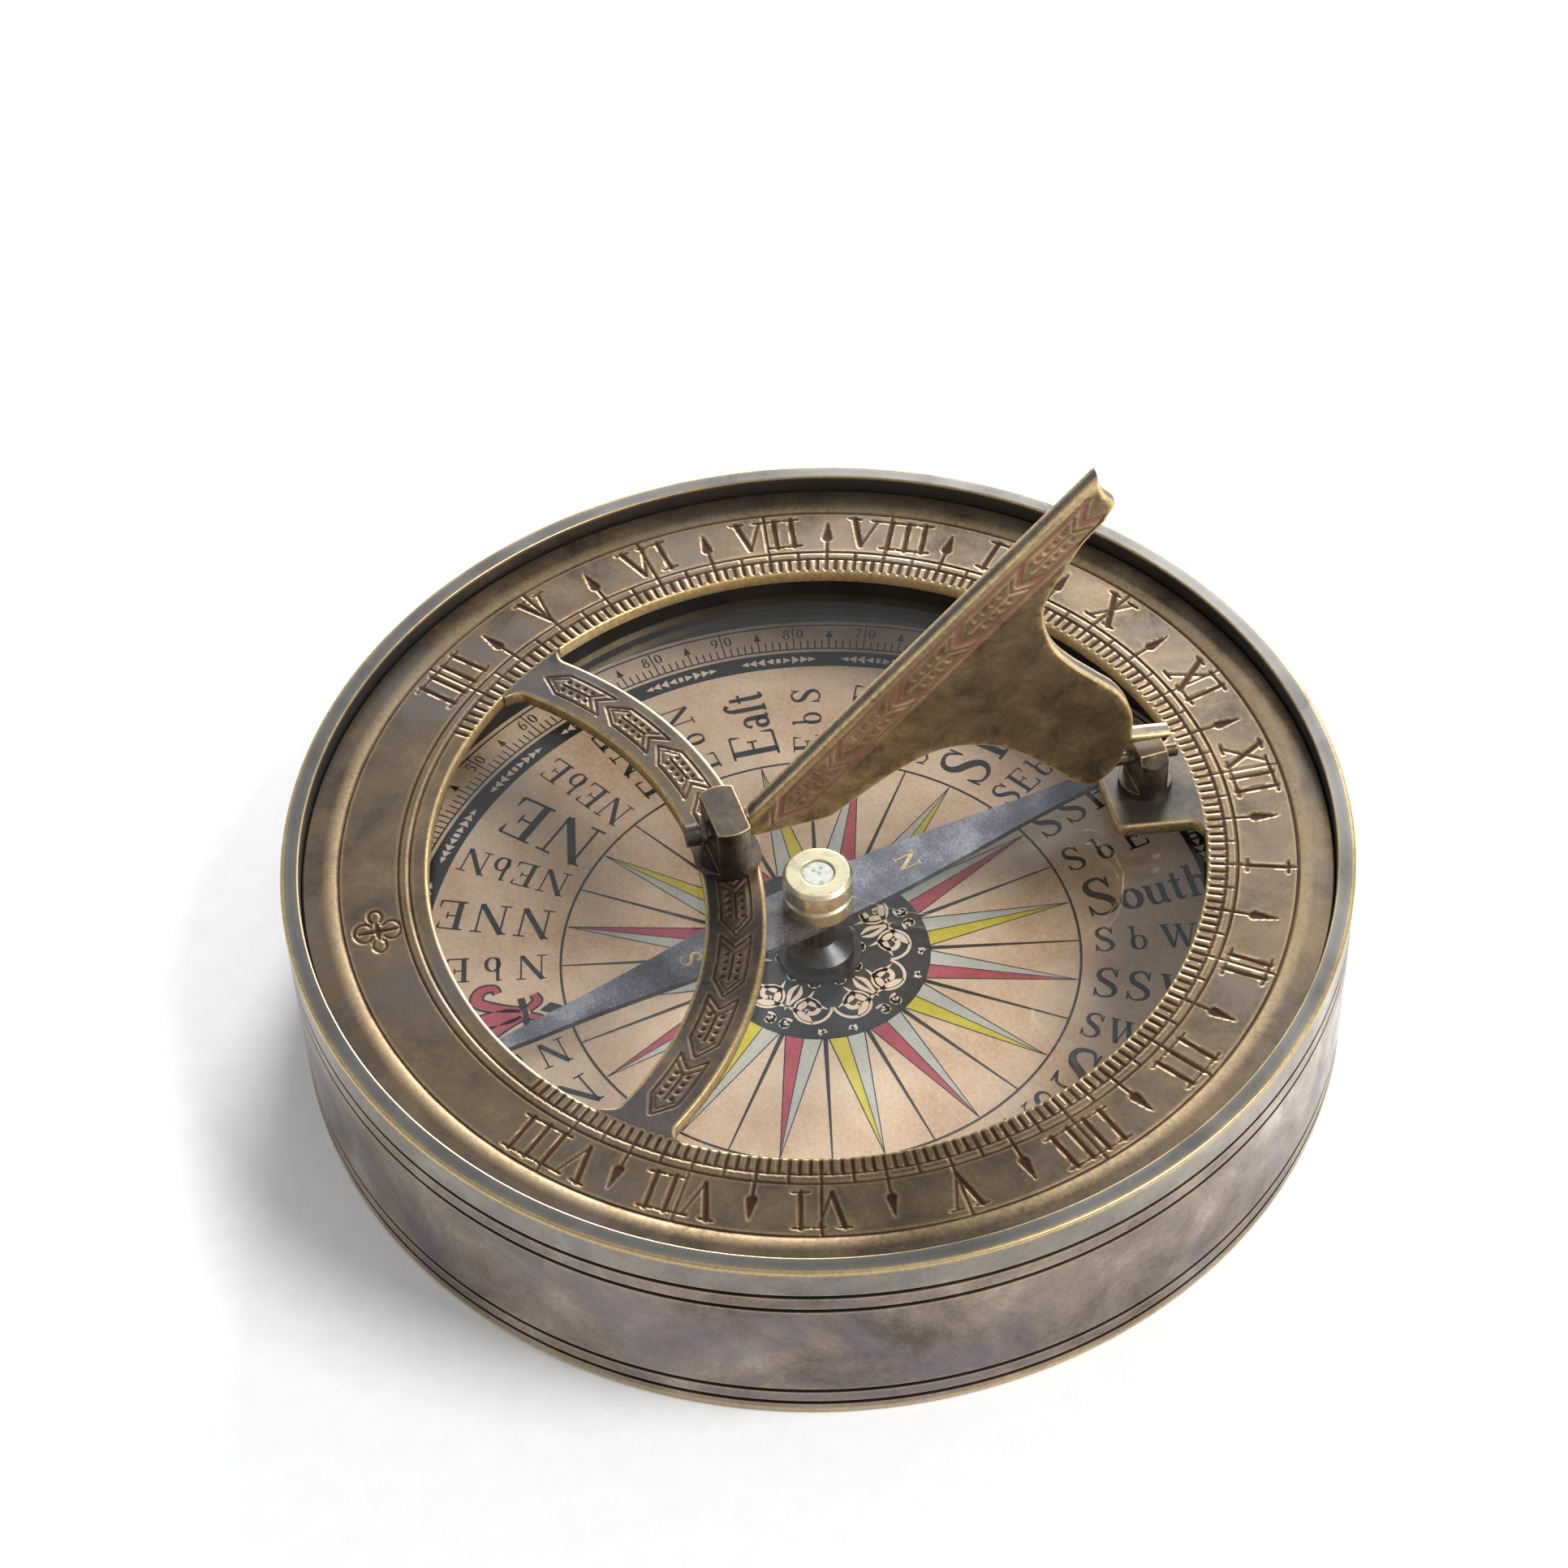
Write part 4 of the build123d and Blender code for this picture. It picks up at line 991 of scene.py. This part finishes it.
BAND_GRAIN, BODY_GRAIN = 0.17, 0.9          # spacing of the mesh, where engraved and elsewhere
S, T = np.meshgrid(np.arange(0.3, 56, BAND_GRAIN), np.arange(0.35, 5.4, BAND_GRAIN))
band = np.stack([STYLE_START[0] + S * math.cos(STYLE) + T * math.sin(STYLE),
                 STYLE_START[1] + S * math.sin(STYLE) - T * math.cos(STYLE)], -1).reshape(-1, 2)
U, V = np.meshgrid(np.arange(foot, 38, BODY_GRAIN), np.arange(0, 44, BODY_GRAIN))
U = U + BODY_GRAIN / 2 * (np.arange(len(U)) % 2)[:, None]
body_points = np.stack([U, V], -1).reshape(-1, 2)
below = ((body_points[:, 0] - STYLE_START[0]) * math.sin(STYLE)
         - (body_points[:, 1] - STYLE_START[1]) * math.cos(STYLE))
body_points = body_points[below > 5.7]
guard = outline + inset * 0.62
scatter = np.concatenate([band, body_points])
scatter = scatter[inside(scatter, guard)]
flat = [Vector(p) for p in np.concatenate([inner, scatter])]
ring_edges = [(i, (i + 1) % count) for i in range(count)]
verts2, _, faces2, _, _, _ = geometry.delaunay_2d_cdt(flat, ring_edges, [], 1, 1e-5)
face_points = np.array([(v.x, v.y) for v in verts2])
triangles = np.array([f for f in faces2])
place_s = ((face_points[:, 0] - STYLE_START[0]) * math.cos(STYLE)
           + (face_points[:, 1] - STYLE_START[1]) * math.sin(STYLE))
place_t = ((face_points[:, 0] - STYLE_START[0]) * math.sin(STYLE)
           - (face_points[:, 1] - STYLE_START[1]) * math.cos(STYLE))
BAND_T, BAND_HALF, BAND_PITCH = 2.75, 1.62, 9.2
band_cuts = [[(3.6, BAND_T - BAND_HALF, 0.42), (50.2, BAND_T - BAND_HALF, 0.42)],
             [(3.6, BAND_T + BAND_HALF, 0.42), (49.5, BAND_T + BAND_HALF, 0.42)]]
for k in range(6):
    s0 = 1.1 + BAND_PITCH * k
    for side in (-1, 1):
        y1 = BAND_T + side * BAND_HALF
        band_cuts += [[(s0 + 0.3, BAND_T, 0.6), (s0 + 2.7, y1, 0.62)],
                      [(s0 - 0.95, BAND_T, 0.16), (s0 + 0.5, BAND_T + side * 1.15, 0.16)]]
        if k < 5:
            band_cuts += [[(s0 + 3.9 + 1.22 * d, BAND_T + side * 0.64, 0.5),
                           (s0 + 3.91 + 1.22 * d, BAND_T + side * 0.64, 0.5)] for d in range(4)]
    if k < 5:
        band_cuts.append([(s0 + 2.4, BAND_T, 0.16), (s0 + 8.0, BAND_T, 0.16)])
depth, wax2, lip2 = engraved(carve(place_s, place_t, band_cuts))
points, faces, worn, wax = [], [], [], []
for way in (1, -1):
    base = len(points)
    points += [(GNOMON_X + way * (GNOMON_HALF + d), y, z + RIM)
               for (y, z), d in zip(face_points, depth)]
    bright = np.clip(1 - np.abs(place_t - 0.5) / 0.6, 0, 1) * 0.9
    worn += list(np.maximum(lip2, bright))
    wax += list(wax2)
    faces += [tuple(base + v for v in (f if way == 1 else f[::-1])) for f in triangles]
side_loops = [(*loops[k], GNOMON_EDGE[k][2], 1) for k in range(LAST, -1, -1)]
side_loops += [(*loops[k], GNOMON_EDGE[k][2], -1) for k in range(LAST + 1)]
for (loop_a, low_a, wa, way_a), (loop_b, low_b, wb, way_b) in zip(side_loops, side_loops[1:]):
    base = len(points)
    for loop, low, rub, way in ((loop_a, low_a, wa, way_a), (loop_b, low_b, wb, way_b)):
        points += [(GNOMON_X + way * (GNOMON_HALF - d), y, z + RIM)
                   for (y, z), d in zip(loop, low)]
        worn += [rub] * count
        wax += [0.0] * count
    faces += [(base + i, base + count + i, base + count + (i + 1) % count, base + (i + 1) % count)
              for i in range(count)]
# Gnomon brass: warm brown mottled with dark specks, its cuts filled with coppery pink.
# Faces that look up, the sloping style above all, take a painted dark grey sky reflection.
gnomon_brass = aged_brass("aged_brass_gnomon", ("#5a4b39", "#7f6b51", "#9a8363", "#bda580"),
                          "#dcc38d", 4.0, roughness=0.4, fill="#9c7060", painted_sky_tint="#4b494c",
                          level_from=0.5)
leaf = put("gnomon_leaf", points, faces, "gnomon", "aged_brass_gnomon", gnomon_brass,
           worn=worn, cut=wax)
work = bmesh.new()
work.from_mesh(leaf.data)
bmesh.ops.remove_doubles(work, verts=work.verts, dist=0.004 * MM)
bmesh.ops.recalc_face_normals(work, faces=work.faces)
work.to_mesh(leaf.data)
work.free()
leaf.data.set_sharp_from_angle(angle=math.radians(40))
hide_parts("gnomon")

# ---- floor, light and camera -----------------------------------------------------------------
# A white table under soft studio light: a broad lamp from the right in front, and one
# behind that the plate and the wall shine in.
floor_mesh = bpy.data.meshes.new("floor")
floor_mesh.from_pydata([(-3, -3, 0), (3, -3, 0), (3, 3, 0), (-3, 3, 0)], [], [(0, 1, 2, 3)])
floor = bpy.data.objects.new("floor", floor_mesh)
bpy.context.scene.collection.objects.link(floor)
floor.location.z = cad_bounds[0][2] - 0.00002
# White table: painted and matt, with the faintest mottle.
white, tree, shader = new_material("white_table_matt", Roughness=0.8)
place = add(tree, "TexCoord").outputs["Object"]
cloth = add(tree, "TexNoise", {"Vector": place, "Scale": 300.0})
tone = add(tree, "ValToRGB", {"Fac": cloth.outputs["Fac"]},
           stops=[(0.3, "#f4f4f4"), (0.7, "#f8f8f8")])
tree.links.new(tone.outputs[0], shader.inputs["Base Color"])
floor_mesh.materials.append(white)


def lamp(name, at, aim, size, power):
    light = bpy.data.lights.new(name, "AREA")
    light.shape, light.size, light.energy = "DISK", size, power
    holder = bpy.data.objects.new(name, light)
    bpy.context.scene.collection.objects.link(holder)
    holder.location = at
    holder.rotation_euler = (Vector(aim) - Vector(at)).to_track_quat("-Z", "Y").to_euler()


lamp("key", (0.30, 0.55, 0.75), (0, 0, 0), 0.45, 8.0)
lamp("back", (-0.85, 0.36, 0.36), (0, 0, 0.02), 0.42, 14.5)
world = bpy.data.worlds.new("studio")
bpy.context.scene.world = world
world.use_nodes = True
world.node_tree.nodes.clear()
aim = add(world.node_tree, "TexCoord").outputs["Generated"]
height = add(world.node_tree, "SeparateXYZ", {0: aim}).outputs[2]
fall = add(world.node_tree, "MapRange", {"Value": height, "From Min": 0.1, "From Max": 0.75,
                                         "To Min": 0.9, "To Max": 0.5})
sky = add(world.node_tree, "Background", {"Color": "#f4f6fa", "Strength": fall.outputs[0]})
add(world.node_tree, "OutputWorld", {"Surface": sky.outputs[0]})
bpy.context.scene.view_settings.view_transform = "Standard"

camera_data = bpy.data.cameras.new("camera")
camera_data.lens, camera_data.sensor_width, camera_data.shift_y = 90.35, 36.0, -0.0015
camera = bpy.data.objects.new("camera", camera_data)
bpy.context.scene.collection.objects.link(camera)
right, up = Vector((0.20718, 0.97785, -0.02981)), Vector((-0.71854, 0.17278, 0.67368))
back = Vector((0.6639, -0.11816, 0.73842))
camera.matrix_world = Matrix.Translation((0.2634, -0.0500, 0.3248)) @ Matrix(
    (right, up, back)).transposed().to_4x4()
bpy.context.scene.camera = camera
